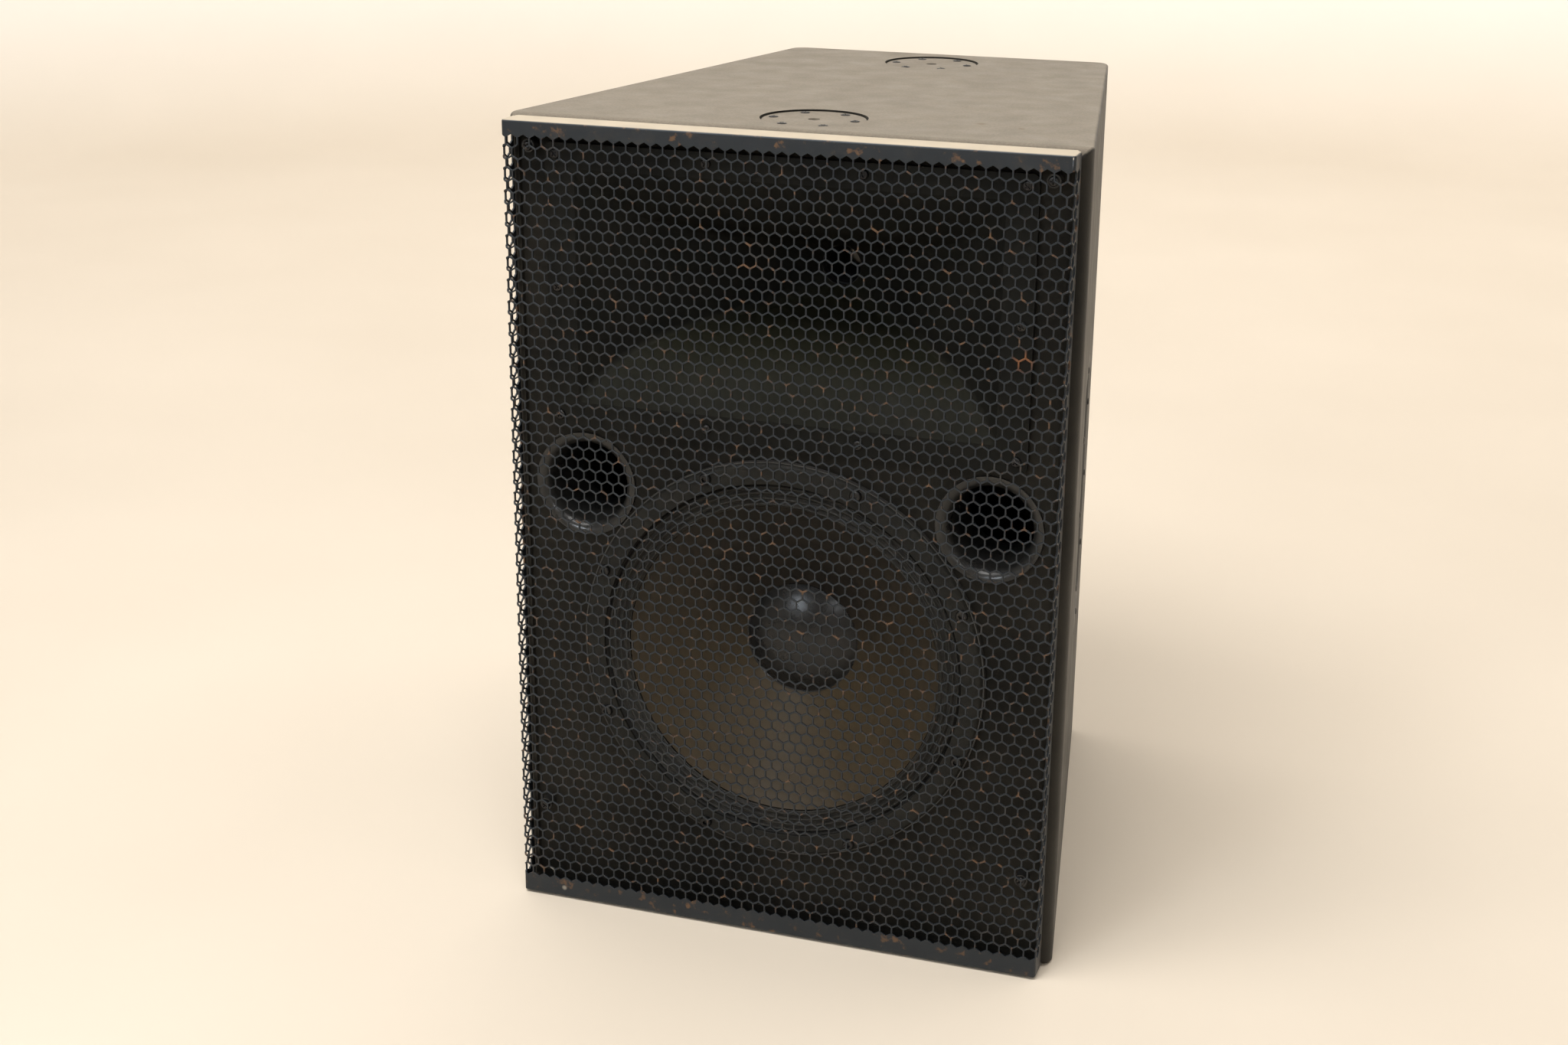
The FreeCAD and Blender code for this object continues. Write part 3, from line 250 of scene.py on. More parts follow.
def grille_paint():
    """Semi-gloss powder coat on steel: the top fold painted pale as dust and painted reflection, brown dust
    in places, a little rust.
    """
    material, tree, shader, coordinates = new_shader("grille_powder_coat")
    patches = noise(tree, coordinates, 18.0, 4.0, 0.6)
    coat = ramp(tree, patches, [(0.3, (0.009, 0.0115, 0.0148)), (0.7, (0.0138, 0.0165, 0.0195))])
    dirt = spread(tree, noise(tree, coordinates, 34.0, 6.0, 0.7), 0.0, 0.3, 0.54, 0.78)
    coat = blend_colours(tree, dirt, coat, (0.075, 0.055, 0.036))
    specks = spread(tree, noise(tree, coordinates, 95.0, 3.0, 0.6), 0.0, 0.75, 0.6, 0.7)
    coat = blend_colours(tree, specks, coat, (0.12, 0.062, 0.028))
    for point, radius, amount, colour in GRILLE_MARKS:
        mark = arithmetic(tree, "MULTIPLY", nearness(tree, coordinates, point, radius), amount)
        coat = blend_colours(tree, mark, coat, colour)
    film = spread(tree, noise(tree, coordinates, 30.0, 5.0, 0.7), 0.8, 1.0, 0.3, 0.7)
    # The up-facing top fold is painted pale cream: partly dust, partly a painted reflection of the bright
    # room.
    dust_and_painted_light = arithmetic(tree, "MULTIPLY", upward(tree, 0.6, 0.97), film)
    dust_and_painted_light = arithmetic(tree, "MULTIPLY", dust_and_painted_light, above(tree, coordinates, 0.757))
    coat = blend_colours(tree, dust_and_painted_light, coat, (0.45, 0.38, 0.285))
    tree.links.new(coat, shader.inputs["Base Color"])
    gloss = spread(tree, noise(tree, coordinates, 60.0, 4.0), 0.34, 0.46)
    tree.links.new(arithmetic(tree, "ADD", gloss, arithmetic(tree, "MULTIPLY", dust_and_painted_light, 0.3)),
                   shader.inputs["Roughness"])
    shader.inputs["Specular IOR Level"].default_value = 0.4
    shader.inputs["Specular Tint"].default_value = (0.88, 0.94, 1.0, 1.0)
    bump(tree, shader, [(noise(tree, coordinates, 700.0, 2.0), 0.00004, 0.5)])
    return material


def woofer_paper(name, dark, light, sheen, rough, specular, dust_and_painted_light=None):
    """Pressed paper pulp with visible fibres; faces that look up can be tinted lighter, as painted light
    from above with some dust.
    """
    material, tree, shader, coordinates = new_shader(name)
    fibres = noise(tree, coordinates, 210.0, 5.0, 0.7)
    broad = noise(tree, coordinates, 22.0, 4.0, 0.6)
    colour = ramp(tree, arithmetic(tree, "ADD", arithmetic(tree, "MULTIPLY", fibres, 0.5),
                                   arithmetic(tree, "MULTIPLY", broad, 0.5)), [(0.35, dark), (0.65, light)])
    # Faces that look up are painted lighter: painted light from above, with some dust.
    if dust_and_painted_light:
        painted_light_mask = arithmetic(tree, "MULTIPLY", upward(tree, -0.45, 0.5), spread(tree, fibres, 0.8, 1.0))
        colour = blend_colours(tree, painted_light_mask, colour, dust_and_painted_light)
    tree.links.new(colour, shader.inputs["Base Color"])
    tree.links.new(spread(tree, broad, *rough), shader.inputs["Roughness"])
    shader.inputs["Sheen Weight"].default_value = sheen
    shader.inputs["Specular IOR Level"].default_value = specular
    bump(tree, shader, [(fibres, 0.00018, 0.5)])
    return material


def cloth(name, dark, light, scale=1500.0, sheen=0.3, rough=(0.75, 0.9), specular=0.5):
    """Woven cloth: two crossed sets of threads."""
    material, tree, shader, coordinates = new_shader(name)
    threads = []
    for direction in ("X", "Z"):
        wave = tree.nodes.new("ShaderNodeTexWave")
        wave.bands_direction = direction
        wave.inputs["Scale"].default_value = scale
        wave.inputs["Distortion"].default_value = 1.2
        tree.links.new(coordinates, wave.inputs["Vector"])
        threads.append(wave.outputs["Fac"])
    weave = arithmetic(tree, "MULTIPLY", *threads)
    patches = noise(tree, coordinates, 30.0, 4.0)
    tree.links.new(ramp(tree, patches, [(0.3, dark), (0.7, light)]), shader.inputs["Base Color"])
    tree.links.new(spread(tree, patches, *rough), shader.inputs["Roughness"])
    shader.inputs["Specular IOR Level"].default_value = specular
    shader.inputs["Sheen Weight"].default_value = sheen
    bump(tree, shader, [(weave, 0.00015, 0.6)])
    return material


def wound(name, dark, light, metallic, axis, scale=1400.0):
    """Wire or tape wound side by side."""
    material, tree, shader, coordinates = new_shader(name)
    wave = tree.nodes.new("ShaderNodeTexWave")
    wave.bands_direction = axis
    wave.inputs["Scale"].default_value = scale
    wave.inputs["Distortion"].default_value = 0.4
    tree.links.new(coordinates, wave.inputs["Vector"])
    colour = ramp(tree, wave.outputs["Fac"], [(0.1, dark), (0.6, light)])
    tree.links.new(colour, shader.inputs["Base Color"])
    shader.inputs["Metallic"].default_value = metallic
    shader.inputs["Roughness"].default_value = 0.35
    bump(tree, shader, [(wave.outputs["Fac"], 0.0003, 0.6)])
    return material


FINISH = {
    "cabinet_paint": cabinet_paint(),
    "grille_steel": grille_paint(),
    "black_screw": moulded(
        "black_oxide_screw", (0.03, 0.03, 0.032), (0.06, 0.058, 0.056), (0.3, 0.45), 0.9, 40.0, 1500.0,
    ),
    "black_plastic": moulded(
        "black_moulded_plastic", (0.014, 0.014, 0.0138), (0.025, 0.024, 0.022), (0.26, 0.4), coat=0.15,
    ),
    # The last colour tints the up-facing lower wall of the horn: dust and painted light from above.
    "horn_plastic": moulded(
        "horn_moulding", (0.0075, 0.0077, 0.007), (0.014, 0.0135, 0.0112), (0.5, 0.66), 0.0, 8.0,
        520.0, 0.0001, 0.4, specular=0.1, dust_and_painted_light=(0.019, 0.0185, 0.0115),
    ),
    # The driver plates and phase plug are made dark metal so that the horn throat stays dark: painted shade
    # in the throat.
    "driver_metal": moulded(
        "darkened_driver_metal", (0.045, 0.045, 0.046), (0.075, 0.074, 0.072), (0.35, 0.5), 0.8,
    ),
    "magnet_ferrite": moulded("ground_ferrite", (0.06, 0.06, 0.063), (0.1, 0.1, 0.105), (0.4, 0.6), 0.3),
    "coil_copper": wound("enamelled_copper", (0.3, 0.12, 0.04), (0.75, 0.36, 0.16), 0.9, "Y"),
    "diaphragm_metal": moulded("formed_foil", (0.24, 0.23, 0.21), (0.36, 0.34, 0.31), (0.25, 0.4), 1.0),
    "frame_casting": moulded(
        "cast_frame_paint", (0.03, 0.03, 0.03), (0.055, 0.053, 0.05), (0.4, 0.55), 0.0, 20.0, 500.0,
        0.00015, 0.6,
    ),
    "gasket_foam": moulded(
        "gasket_foam", (0.009, 0.0088, 0.0075), (0.0175, 0.0165, 0.0135), (0.5, 0.7), 0.0, 25.0, 600.0,
        0.0003, 0.7, specular=0.25,
    ),
    "pleated_cloth": cloth(
        "doped_cloth", (0.016, 0.0155, 0.0135), (0.03, 0.0275, 0.0225), 1800.0, 0.02, (0.3, 0.4), 0.5,
    ),
    # The last colour paints the light on the up-facing lower half of the cone, with some dust.
    "cone_paper": woofer_paper(
        "cone_paper", (0.009, 0.0075, 0.006), (0.02, 0.016, 0.012), 0.02, (0.36, 0.5), 0.25,
        (0.066, 0.047, 0.0245),
    ),
    "dust_cap_paper": woofer_paper(
        "dust_cap_paper", (0.006, 0.0062, 0.0068), (0.01, 0.0102, 0.0108), 0.02, (0.24, 0.32), 0.5,
    ),
    "former_film": moulded(
        "former_film", (0.45, 0.24, 0.06), (0.6, 0.35, 0.1), (0.2, 0.3), 0.0, 30.0, coat=0.3,
    ),
    "spider_cloth": cloth("resin_cloth", (0.4, 0.29, 0.12), (0.6, 0.46, 0.22), 1300.0),
    "driver_steel": moulded("plated_steel", (0.3, 0.3, 0.31), (0.42, 0.42, 0.43), (0.3, 0.45), 1.0),
    "rigging_steel": cabinet_paint(),
    "handle_steel": moulded(
        "handle_powder_coat", (0.024, 0.024, 0.025), (0.038, 0.037, 0.036), (0.4, 0.55), 0.0, 16.0,
        800.0, 0.00008, 0.5,
    ),
    "handle_grip": moulded("handle_rubber", (0.022, 0.022, 0.022), (0.036, 0.035, 0.034), (0.6, 0.8)),
    "amplifier_metal": moulded(
        "anodised_plate", (0.028, 0.028, 0.03), (0.045, 0.045, 0.047), (0.3, 0.42), 0.6, 30.0, 1200.0,
        stretch=(1.0, 1.0, 14.0),
    ),
    "heatsink_metal": moulded(
        "anodised_heatsink", (0.02, 0.02, 0.022), (0.034, 0.034, 0.036), (0.32, 0.45), 0.6, 30.0,
        1400.0, stretch=(1.0, 1.0, 0.06),
    ),
    "housing_steel": moulded(
        "zinc_plate", (0.5, 0.51, 0.52), (0.64, 0.65, 0.66), (0.28, 0.42), 1.0, 60.0,
    ),
    "circuit_board": moulded(
        "glass_epoxy", (0.02, 0.12, 0.05), (0.03, 0.2, 0.09), (0.25, 0.35), coat=0.4,
    ),
    "capacitor_sleeve": moulded("capacitor_sleeve", (0.02, 0.03, 0.09), (0.04, 0.06, 0.15), (0.25, 0.35)),
    "transformer_tape": wound("transformer_tape", (0.5, 0.36, 0.08), (0.8, 0.62, 0.2), 0.2, "X", 220.0),
    "guard_wire": moulded("plated_wire", (0.5, 0.5, 0.5), (0.68, 0.68, 0.67), (0.18, 0.3), 1.0),
    "switch_plastic": moulded(
        "glossy_switch", (0.03, 0.03, 0.03), (0.045, 0.045, 0.045), (0.15, 0.25), coat=0.5,
    ),
    "connector_metal": moulded("black_chrome", (0.06, 0.06, 0.062), (0.1, 0.1, 0.1), (0.2, 0.32), 1.0),
    "latch_metal": moulded("nickel_latch", (0.55, 0.54, 0.5), (0.7, 0.68, 0.64), (0.2, 0.3), 1.0),
    "light_lens": moulded("tinted_lens", (0.05, 0.4, 0.12), (0.1, 0.55, 0.2), (0.1, 0.2), coat=1.0),
    "lining_wool": cloth("polyester_wool", (0.62, 0.61, 0.57), (0.8, 0.78, 0.73), 300.0, 0.6),
}


# ---------------------------------------------------------------- mesh building

def facing(origin, right, up):
    """Local millimetres (a to the right, b up, d inwards) on a surface, as seen from outside."""
    origin, right, up = Vector(origin), Vector(right), Vector(up)
    inward = up.cross(right)
    return lambda a, b, d: (origin + right * a + up * b + inward * d) * MM


def ring(where, count, a, b, depth, radius):
    """Points round a centre; the radius may be a function of the angle."""
    points = []
    for step in range(count):
        angle = 2 * math.pi * step / count
        reach = radius(angle) if callable(radius) else radius
        points.append(where(a + reach * math.cos(angle), b + reach * math.sin(angle), depth))
    return points


def skin(bm, rings, closed=False, caps=True):
    """Faces between rings of equal length; closed joins the last ring to the first."""
    rows = [[bm.verts.new(point) for point in points] for points in rings]
    pairs = list(zip(rows, rows[1:]))
    if closed:
        pairs.append((rows[-1], rows[0]))
    for one, two in pairs:
        for index in range(len(one)):
            following = (index + 1) % len(one)
            bm.faces.new((one[index], one[following], two[following], two[index]))
    if caps and not closed:
        bm.faces.new(rows[0][::-1])
        bm.faces.new(rows[-1])
    return rows


def soften(outline, steps=4):
    """Round each corner of a closed outline that carries a reach as its third number."""
    result = []
    for index, corner in enumerate(outline):
        here = Vector(corner[:2])
        if len(corner) < 3:
            result.append(tuple(here))
            continue
        before = Vector(outline[index - 1][:2]) - here
        after = Vector(outline[(index + 1) % len(outline)][:2]) - here
        reach = min(corner[2], before.length * 0.48, after.length * 0.48)
        first, last = here + before.normalized() * reach, here + after.normalized() * reach
        for step in range(steps + 1):
            t = step / steps
            result.append(tuple(first * (1 - t) ** 2 + here * 2 * t * (1 - t) + last * t * t))
    return result


def turn_profile(bm, where, outline, count=96):
    """A closed (depth, radius) outline turned about an axis that runs inwards."""
    skin(bm, [ring(where, count, 0, 0, depth, radius) for depth, radius in outline], closed=True)


def turn_sector(bm, where, outline, start, end, steps):
    """The same, but only between two angles."""
    rings = []
    for step in range(steps + 1):
        angle = start + (end - start) * step / steps
        rings.append([where(radius * math.cos(angle), radius * math.sin(angle), depth)
                      for depth, radius in outline])
    skin(bm, rings)


SCREW_SIDES = 40


def hexagon(size):
    """The radius of a hexagon at each angle."""
    return lambda angle: size / math.cos((angle % (math.pi / 3)) - math.pi / 6)


def cross_slot(reach, half, turn):
    """The radius of a cross-shaped recess at each angle."""
    def radius(angle):
        part = (angle - turn) % (math.pi / 2)
        part = min(part, math.pi / 2 - part)
        return min(reach, half / max(math.sin(part), 1e-3))
    return radius


def screw_head(bm, where, a, b, seat, radius, height, kind="cross"):
    """A domed screw head standing out from a seat, with a hexagon or cross recess."""
    turn = chance.uniform(0, math.pi / 2)
    if kind == "hexagon":
        recess = hexagon(radius * 0.42)
    else:
        recess = cross_slot(radius * 0.62, radius * 0.13, turn)
    stations = [(seat, radius), (seat - height * 0.5, radius), (seat - height * 0.78, radius * 0.93),
                (seat - height * 0.95, radius * 0.8), (seat - height, radius * 0.68)]
    stations += [(seat - height, recess), (seat - height * 0.3, recess)]
    rings = [ring(where, SCREW_SIDES, a, b, depth, size) for depth, size in stations]
    skin(bm, rings)


def piece(name, bm, node, crease=32, rides=True):
    """Turn a bmesh into an object that stands for its CAD node and rides with that node's body."""
    bmesh.ops.remove_doubles(bm, verts=bm.verts, dist=2e-6)
    bmesh.ops.recalc_face_normals(bm, faces=bm.faces)
    mesh = bpy.data.meshes.new(name)
    bm.to_mesh(mesh)
    bm.free()
    mesh.shade_smooth()
    mesh.set_sharp_from_angle(angle=math.radians(crease))
    obj = bpy.data.objects.new(name, mesh)
    bpy.context.collection.objects.link(obj)
    mesh.materials.append(FINISH[SLOT_OF[node]])
    if rides:
        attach(obj, BODY_OF[node])
    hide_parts(node)
    return obj


def middle(node):
    """The middle of a node's box, in millimetres."""
    low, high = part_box(node)
    return (low + high) / 2 / MM


def low_high(node):
    """The lowest and highest corners of a node's box, in millimetres."""
    low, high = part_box(node)
    return low / MM, high / MM


# ---------------------------------------------------------------- carried-over CAD nodes

def finish_cad_nodes():
    """Every CAD node gets its slot's procedural material and smooth shading where it curves."""
    for name, obj in frame["nodes"].items():
        obj.data.materials.clear()
        obj.data.materials.append(FINISH[SLOT_OF[name]])
        obj.data.shade_smooth()
        obj.data.set_sharp_from_angle(angle=math.radians(28))


# ---------------------------------------------------------------- grille

GRILLE_LOW, GRILLE_HIGH = low_high("front_grille")
PITCH, ROW = 11.45, 10.094
STRETCH = ROW / (PITCH * math.sqrt(3) / 2)
SHEET, BEND, RIM = 1.6, 3.0, 1.8
CORNER = PITCH / math.sqrt(3)
HOLE = CORNER - 0.86
FIRST_ROW, ROWS, SHIFT = 25.6, 72, -1.0
QUARTER_BEND = math.pi / 2 * (BEND - SHEET / 2)
SIDE_FOLD = 19.8
HALF_SHEET = GRILLE_HIGH.x - BEND + QUARTER_BEND + SIDE_FOLD
BROKEN_BARS = [(-238.6, 737.2), (236.6, 737.2), (-238.6, 91.2), (236.6, 91.2)]
GRILLE_SCREWS = [(side * 237.0, height) for side in (-1, 1) for height in (93.0, 736.5)]


def bent(u, depth, height):
    """Where a point of the flat sheet goes once both sides are folded back."""
    side = math.copysign(1.0, u)
    flat = GRILLE_HIGH.x - BEND
    past = abs(u) - flat
    reach = BEND - depth
    if past <= 0:
        return Vector((u, GRILLE_LOW.y + depth, height)) * MM
    if past < QUARTER_BEND:
        angle = past / (BEND - SHEET / 2)
        return Vector((side * (flat + reach * math.sin(angle)),
                       GRILLE_LOW.y + BEND - reach * math.cos(angle), height)) * MM
    return Vector((side * (flat + reach), GRILLE_LOW.y + BEND + past - QUARTER_BEND, height)) * MM


def cell_centres(row):
    """Where the holes of a row are, along the flat sheet."""
    offset = 0.5 if row % 2 else 0.0
    reach = int(HALF_SHEET / PITCH) + 2
    centres = [(column + offset) * PITCH + SHIFT for column in range(-reach, reach + 1)]
    return [u for u in centres if abs(u) + PITCH / 2 < HALF_SHEET - 0.5]


def perforated_sheet(bm):
    """Flat perforated sheet with chamfered hexagonal holes, in (u, depth, height)."""
    verts = {}

    def face(points):
        corners = []
        for point in points:
            key = tuple(round(value, 3) for value in point)
            if key not in verts:
                verts[key] = bm.verts.new(point)
            if verts[key] not in corners:
                corners.append(verts[key])
        if len(corners) > 2:
            bm.faces.new(corners)

    def hexagon_edge(u, height, side, radius, depth):
        """Two neighbouring corners of a hole."""
        angles = [math.radians(30 + 60 * (side + step)) for step in (0, 1)]
        return [(u + radius * math.cos(t), depth, height + STRETCH * radius * math.sin(t)) for t in angles]

    limits = {0: GRILLE_LOW.z + RIM, ROWS - 1: GRILLE_HIGH.z - RIM}
    shoulder, peak = STRETCH * CORNER / 2, STRETCH * CORNER
    lip, same_bar = 0.22, 2.5

    for row in range(ROWS):
        height = FIRST_ROW + ROW * row
        cells = cell_centres(row)
        for u in cells:
            for side in range(6):
                angle = math.radians(60 + 60 * side)
                bar = (u + PITCH / 2 * math.cos(angle), height + STRETCH * PITCH / 2 * math.sin(angle))
                if any(math.dist(bar, broken) < same_bar for broken in BROKEN_BARS):
                    continue
                start, end = hexagon_edge(u, height, side, CORNER, 0)
                wide_start, wide_end = hexagon_edge(u, height, side, HOLE + lip, 0)
                near_start, near_end = hexagon_edge(u, height, side, HOLE, lip)
                far_start, far_end = hexagon_edge(u, height, side, HOLE, SHEET)
                back_start, back_end = hexagon_edge(u, height, side, CORNER, SHEET)
                face([start, end, wide_end, wide_start])
                face([wide_start, wide_end, near_end, near_start])
                face([near_start, near_end, far_end, far_start])
                face([back_start, back_end, far_end, far_start])
        ends = [(-1, cells[0] - PITCH / 2), (1, cells[-1] + PITCH / 2)]
        for depth in (0.0, SHEET):
            for side, u in ends:
                edge = side * HALF_SHEET
                face([(u, depth, height - shoulder), (u, depth, height + shoulder),
                      (edge, depth, height + shoulder), (edge, depth, height - shoulder)])
                if row < ROWS - 1:
                    following = cell_centres(row + 1)
                    v = following[0] - PITCH / 2 if side < 0 else following[-1] + PITCH / 2
                    face([(u, depth, height + shoulder), (v, depth, height + peak),
                          (edge, depth, height + peak), (edge, depth, height + shoulder)])
            if row in limits:
                sign, limit = (-1 if row == 0 else 1), limits[row]
                turned = height + sign * shoulder
                for u in cells:
                    left, right = u - PITCH / 2, u + PITCH / 2
                    tip = (u, depth, height + sign * peak)
                    face([(left, depth, turned), tip, (u, depth, limit), (left, depth, limit)])
                    face([tip, (right, depth, turned), (right, depth, limit), (u, depth, limit)])
                for side, u in ends:
                    edge = side * HALF_SHEET
                    face([(u, depth, turned), (edge, depth, turned),
                          (edge, depth, limit), (u, depth, limit)])
    bmesh.ops.remove_doubles(bm, verts=bm.verts, dist=0.004)
    bmesh.ops.recalc_face_normals(bm, faces=bm.faces)


def close_rims(bm):
    """Walls between the front and the back of the sheet wherever an edge is still open."""
    open_edges = [edge for edge in bm.edges if len(edge.link_faces) == 1]
    back = {}
    for vertex in bm.verts:
        if abs(vertex.co.y - SHEET) < 1e-4:
            back[(round(vertex.co.x, 2), round(vertex.co.z, 2))] = vertex
    for edge in open_edges:
        one, two = edge.verts
        if abs(one.co.y) > 1e-4 or abs(two.co.y) > 1e-4:
            continue
        far = [back.get((round(v.co.x, 2), round(v.co.z, 2))) for v in (two, one)]
        if all(far):
            bm.faces.new((one, two, far[0], far[1]))
    bmesh.ops.holes_fill(bm, edges=[edge for edge in bm.edges if len(edge.link_faces) == 1], sides=8)


def grille_rims(bm):
    """The plain top and bottom folds with their flanges and rounded corners."""
    across, back = GRILLE_HIGH.x - BEND, GRILLE_HIGH.y
    front = GRILLE_LOW.y + BEND
    side_back = front + SIDE_FOLD
    quarter = [math.pi / 2 * step / 6 for step in range(7)]
    for base, sign in ((GRILLE_HIGH.z - RIM, 1), (GRILLE_LOW.z + RIM, -1)):
        path = [((-across, side_back), math.pi), ((-across, front), math.pi)]
        path += [((-across, front), math.pi + turn) for turn in quarter[1:]]
        path += [((across, front), 3 * math.pi / 2 + turn) for turn in quarter]
        path += [((across, side_back), 2 * math.pi)]
        straight, inside = BEND - RIM, RIM - SHEET
        section = [(straight + RIM * math.cos(t), RIM * math.sin(t)) for t in quarter]
        section += [(0.0, RIM), (0.0, inside)]
        section += [(straight + inside * math.cos(t), inside * math.sin(t)) for t in quarter[::-1]]
        skin(bm, [[Vector((x + out * math.cos(angle), y + out * math.sin(angle), base + sign * rise)) * MM
                   for out, rise in section] for (x, y), angle in path])
        outline = [(-across, front), (across, front), (across, back - 2), (across - 2, back),
                   (2 - across, back), (-across, back - 2)]
        skin(bm, [[Vector((x, y, base + sign * rise)) * MM for x, y in outline] for rise in (RIM, inside)])


def build_grille():
    """The perforated sheet, cut where it bends and folded back at both sides, with its rims."""
    bm = bmesh.new()
    perforated_sheet(bm)
    close_rims(bm)
    flat, cuts = GRILLE_HIGH.x - BEND, 6
    for side in (-1, 1):
        for step in range(cuts + 1):
            u = side * (flat + QUARTER_BEND * step / cuts)
            geometry = bm.verts[:] + bm.edges[:] + bm.faces[:]
            bmesh.ops.bisect_plane(bm, geom=geometry, plane_co=(u, 0, 0), plane_no=(1, 0, 0), dist=0.001)
    for vertex in bm.verts:
        vertex.co = bent(*vertex.co)
    grille_rims(bm)
    piece("perforated_grille", bm, "front_grille", crease=24)


# ---------------------------------------------------------------- screws in groups

def build_screws():
    """The screws of the horn, the woofer, the grille and the amplifier plate."""
    front = facing((0, 0, 0), (1, 0, 0), (0, 0, 1))
    horn_front, horn_middle = low_high("horn_flare")[0].y, middle("horn_flare").z
    across, bottom, top = 214.0, 490.0, 730.0
    bm = bmesh.new()
    spots = [(across * share, height) for height in (bottom, top) for share in (-1, -1 / 3, 1 / 3, 1)]
    for x, height in spots + [(-across, horn_middle), (across, horn_middle)]:
        screw_head(bm, front, x, height, horn_front, 4.5, 2.6)
    piece("horn_flange_screws", bm, "horn_screws")

    bm = bmesh.new()
    gasket_front, woofer_middle = low_high("woofer_gasket")[0].y, middle("woofer_gasket").z
    bolt_circle = 186
    for step in range(8):
        angle = math.radians(22.5 + 45 * step)
        x, height = bolt_circle * math.cos(angle), woofer_middle + bolt_circle * math.sin(angle)
        screw_head(bm, front, x, height, gasket_front, 5.5, 4, "hexagon")
    piece("woofer_frame_bolts", bm, "woofer_bolts")

    bm = bmesh.new()
    seat = low_high("grille_spacers")[0].y
    for x, height in GRILLE_SCREWS:
        screw_head(bm, front, x, height, seat, 4.5, 3)
    piece("grille_corner_screws", bm, "grille_screws")

    bm = bmesh.new()
    rear = facing((0, 0, 0), (-1, 0, 0), (0, 0, 1))
    low, high = low_high("amplifier_plate")
    inset, rows = 8, 5
    edge, bottom, top = high.x - inset, low.z + inset, high.z - inset
    heights = [bottom + (top - bottom) * step / (rows - 1) for step in range(rows)]
    spots = [(sign * edge, height) for sign in (-1, 1) for height in heights] + [(0, bottom), (0, top)]
    for x, height in spots:
        screw_head(bm, rear, -x, height, -high.y, 4.5, 2.8)
    piece("amplifier_plate_screws", bm, "amplifier_screws")


# ---------------------------------------------------------------- woofer

def build_woofer():
    """The cone with its pressed ribs, the dust dome and the gasket."""
    centre = middle("woofer_gasket")
    woofer = facing((centre.x, 0, centre.z), (1, 0, 0), (0, 0, 1))
    cone_front = low_high("woofer_cone")[0].y
    cone_outer, cone_inner, cone_depth, bulge = 150, 52.2, 63.2, 3.2
    ribs, rib_height, rib_width = (132, 114, 96, 78), 0.55, 1.5

    profile = []
    steps = 40
    for step in range(steps + 1):
        t = step / steps
        radius = cone_outer - (cone_outer - cone_inner) * t
        rib = rib_height * sum(math.exp(-((radius - place) / rib_width) ** 2) for place in ribs)
        depth = cone_front + 0.6 + cone_depth * t - bulge * math.sin(math.pi * t) - rib
        profile.append((depth, radius))
    neck = cone_front + 67
    behind = [(depth + 1.1, radius + 0.5) for depth, radius in reversed(profile[:steps])]
    profile += [(neck, cone_inner), (neck, cone_inner + 1.6)] + behind
    bm = bmesh.new()
    turn_profile(bm, woofer, profile, 160)
    piece("woofer_cone_paper", bm, "woofer_cone", crease=40)

    low, high = low_high("woofer_dust_cap")
    outer, height = 53.8, high.y - low.y
    curve = (height * height + outer * outer) / (2 * height)
    crown, steps = [], 24
    for step in range(steps + 1):
        radius = outer * (1 - step / steps)
        crown.append((low.y + curve - math.sqrt(curve * curve - radius * radius), radius))
    rim = [(high.y + 0.8, outer + 1.6), (high.y - 0.8, outer + 1.2)]
    inner = [(depth + 0.7, radius) for depth, radius in reversed(crown) if radius < outer - 1]
    bm = bmesh.new()
    turn_profile(bm, woofer, rim + crown + inner, 128)
    piece("woofer_dust_dome", bm, "woofer_dust_cap", crease=50)

    front = low_high("woofer_gasket")[0].y
    outline = [(front, 173.2, 1), (front, 191, 1.6), (front + 3, 193, 0.4), (front + 3, 173.2, 0.4)]
    bm = bmesh.new()
    turn_profile(bm, woofer, soften(outline), 160)
    piece("woofer_gasket_ring", bm, "woofer_gasket")


def pleats(inner, outer, folds, swing, thickness, base):
    """A closed outline of rounded folds between two radii."""
    count = folds * 10
    near = []
    for step in range(count + 1):
        t = step / count
        wave = 0.5 - 0.5 * math.cos(2 * math.pi * folds * t)
        near.append((base - swing * wave, inner + (outer - inner) * t))
    return near + [(depth + thickness, radius) for depth, radius in reversed(near)]


def build_pleated_rings():
    """Surround and spider, each cut in sectors round its axis."""
    centre = middle("woofer_gasket")
    where = facing((centre.x, 0, centre.z), (1, 0, 0), (0, 0, 1))
    thickness = 0.8
    rings = (
        ("surround_sector", "woofer_surround", 150.6, 172.2, 4, 3.2, 24, 8),
        ("spider_sector", "woofer_spider", 52.4, 98.6, 5, 2.6, 12, 10),
    )
    for name, node, inner, outer, folds, swing, sectors, steps in rings:
        base = low_high(node)[1].y - thickness
        outline = pleats(inner, outer, folds, swing, thickness, base)
        for number in range(sectors):
            start = 2 * math.pi * number / sectors
            end = 2 * math.pi * (number + 1) / sectors
            bm = bmesh.new()
            turn_sector(bm, where, outline, start, end, steps)
            sector = piece(f"{name}_{number:02d}", bm, node, rides=False, crease=40)
            angle = (start + end) / 2
            fixed, moving = [tuple(where(reach * math.cos(angle), reach * math.sin(angle), base))
                             for reach in (outer - 1.0, inner + 1.0)]
            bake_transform(sector)


# ---------------------------------------------------------------- ports

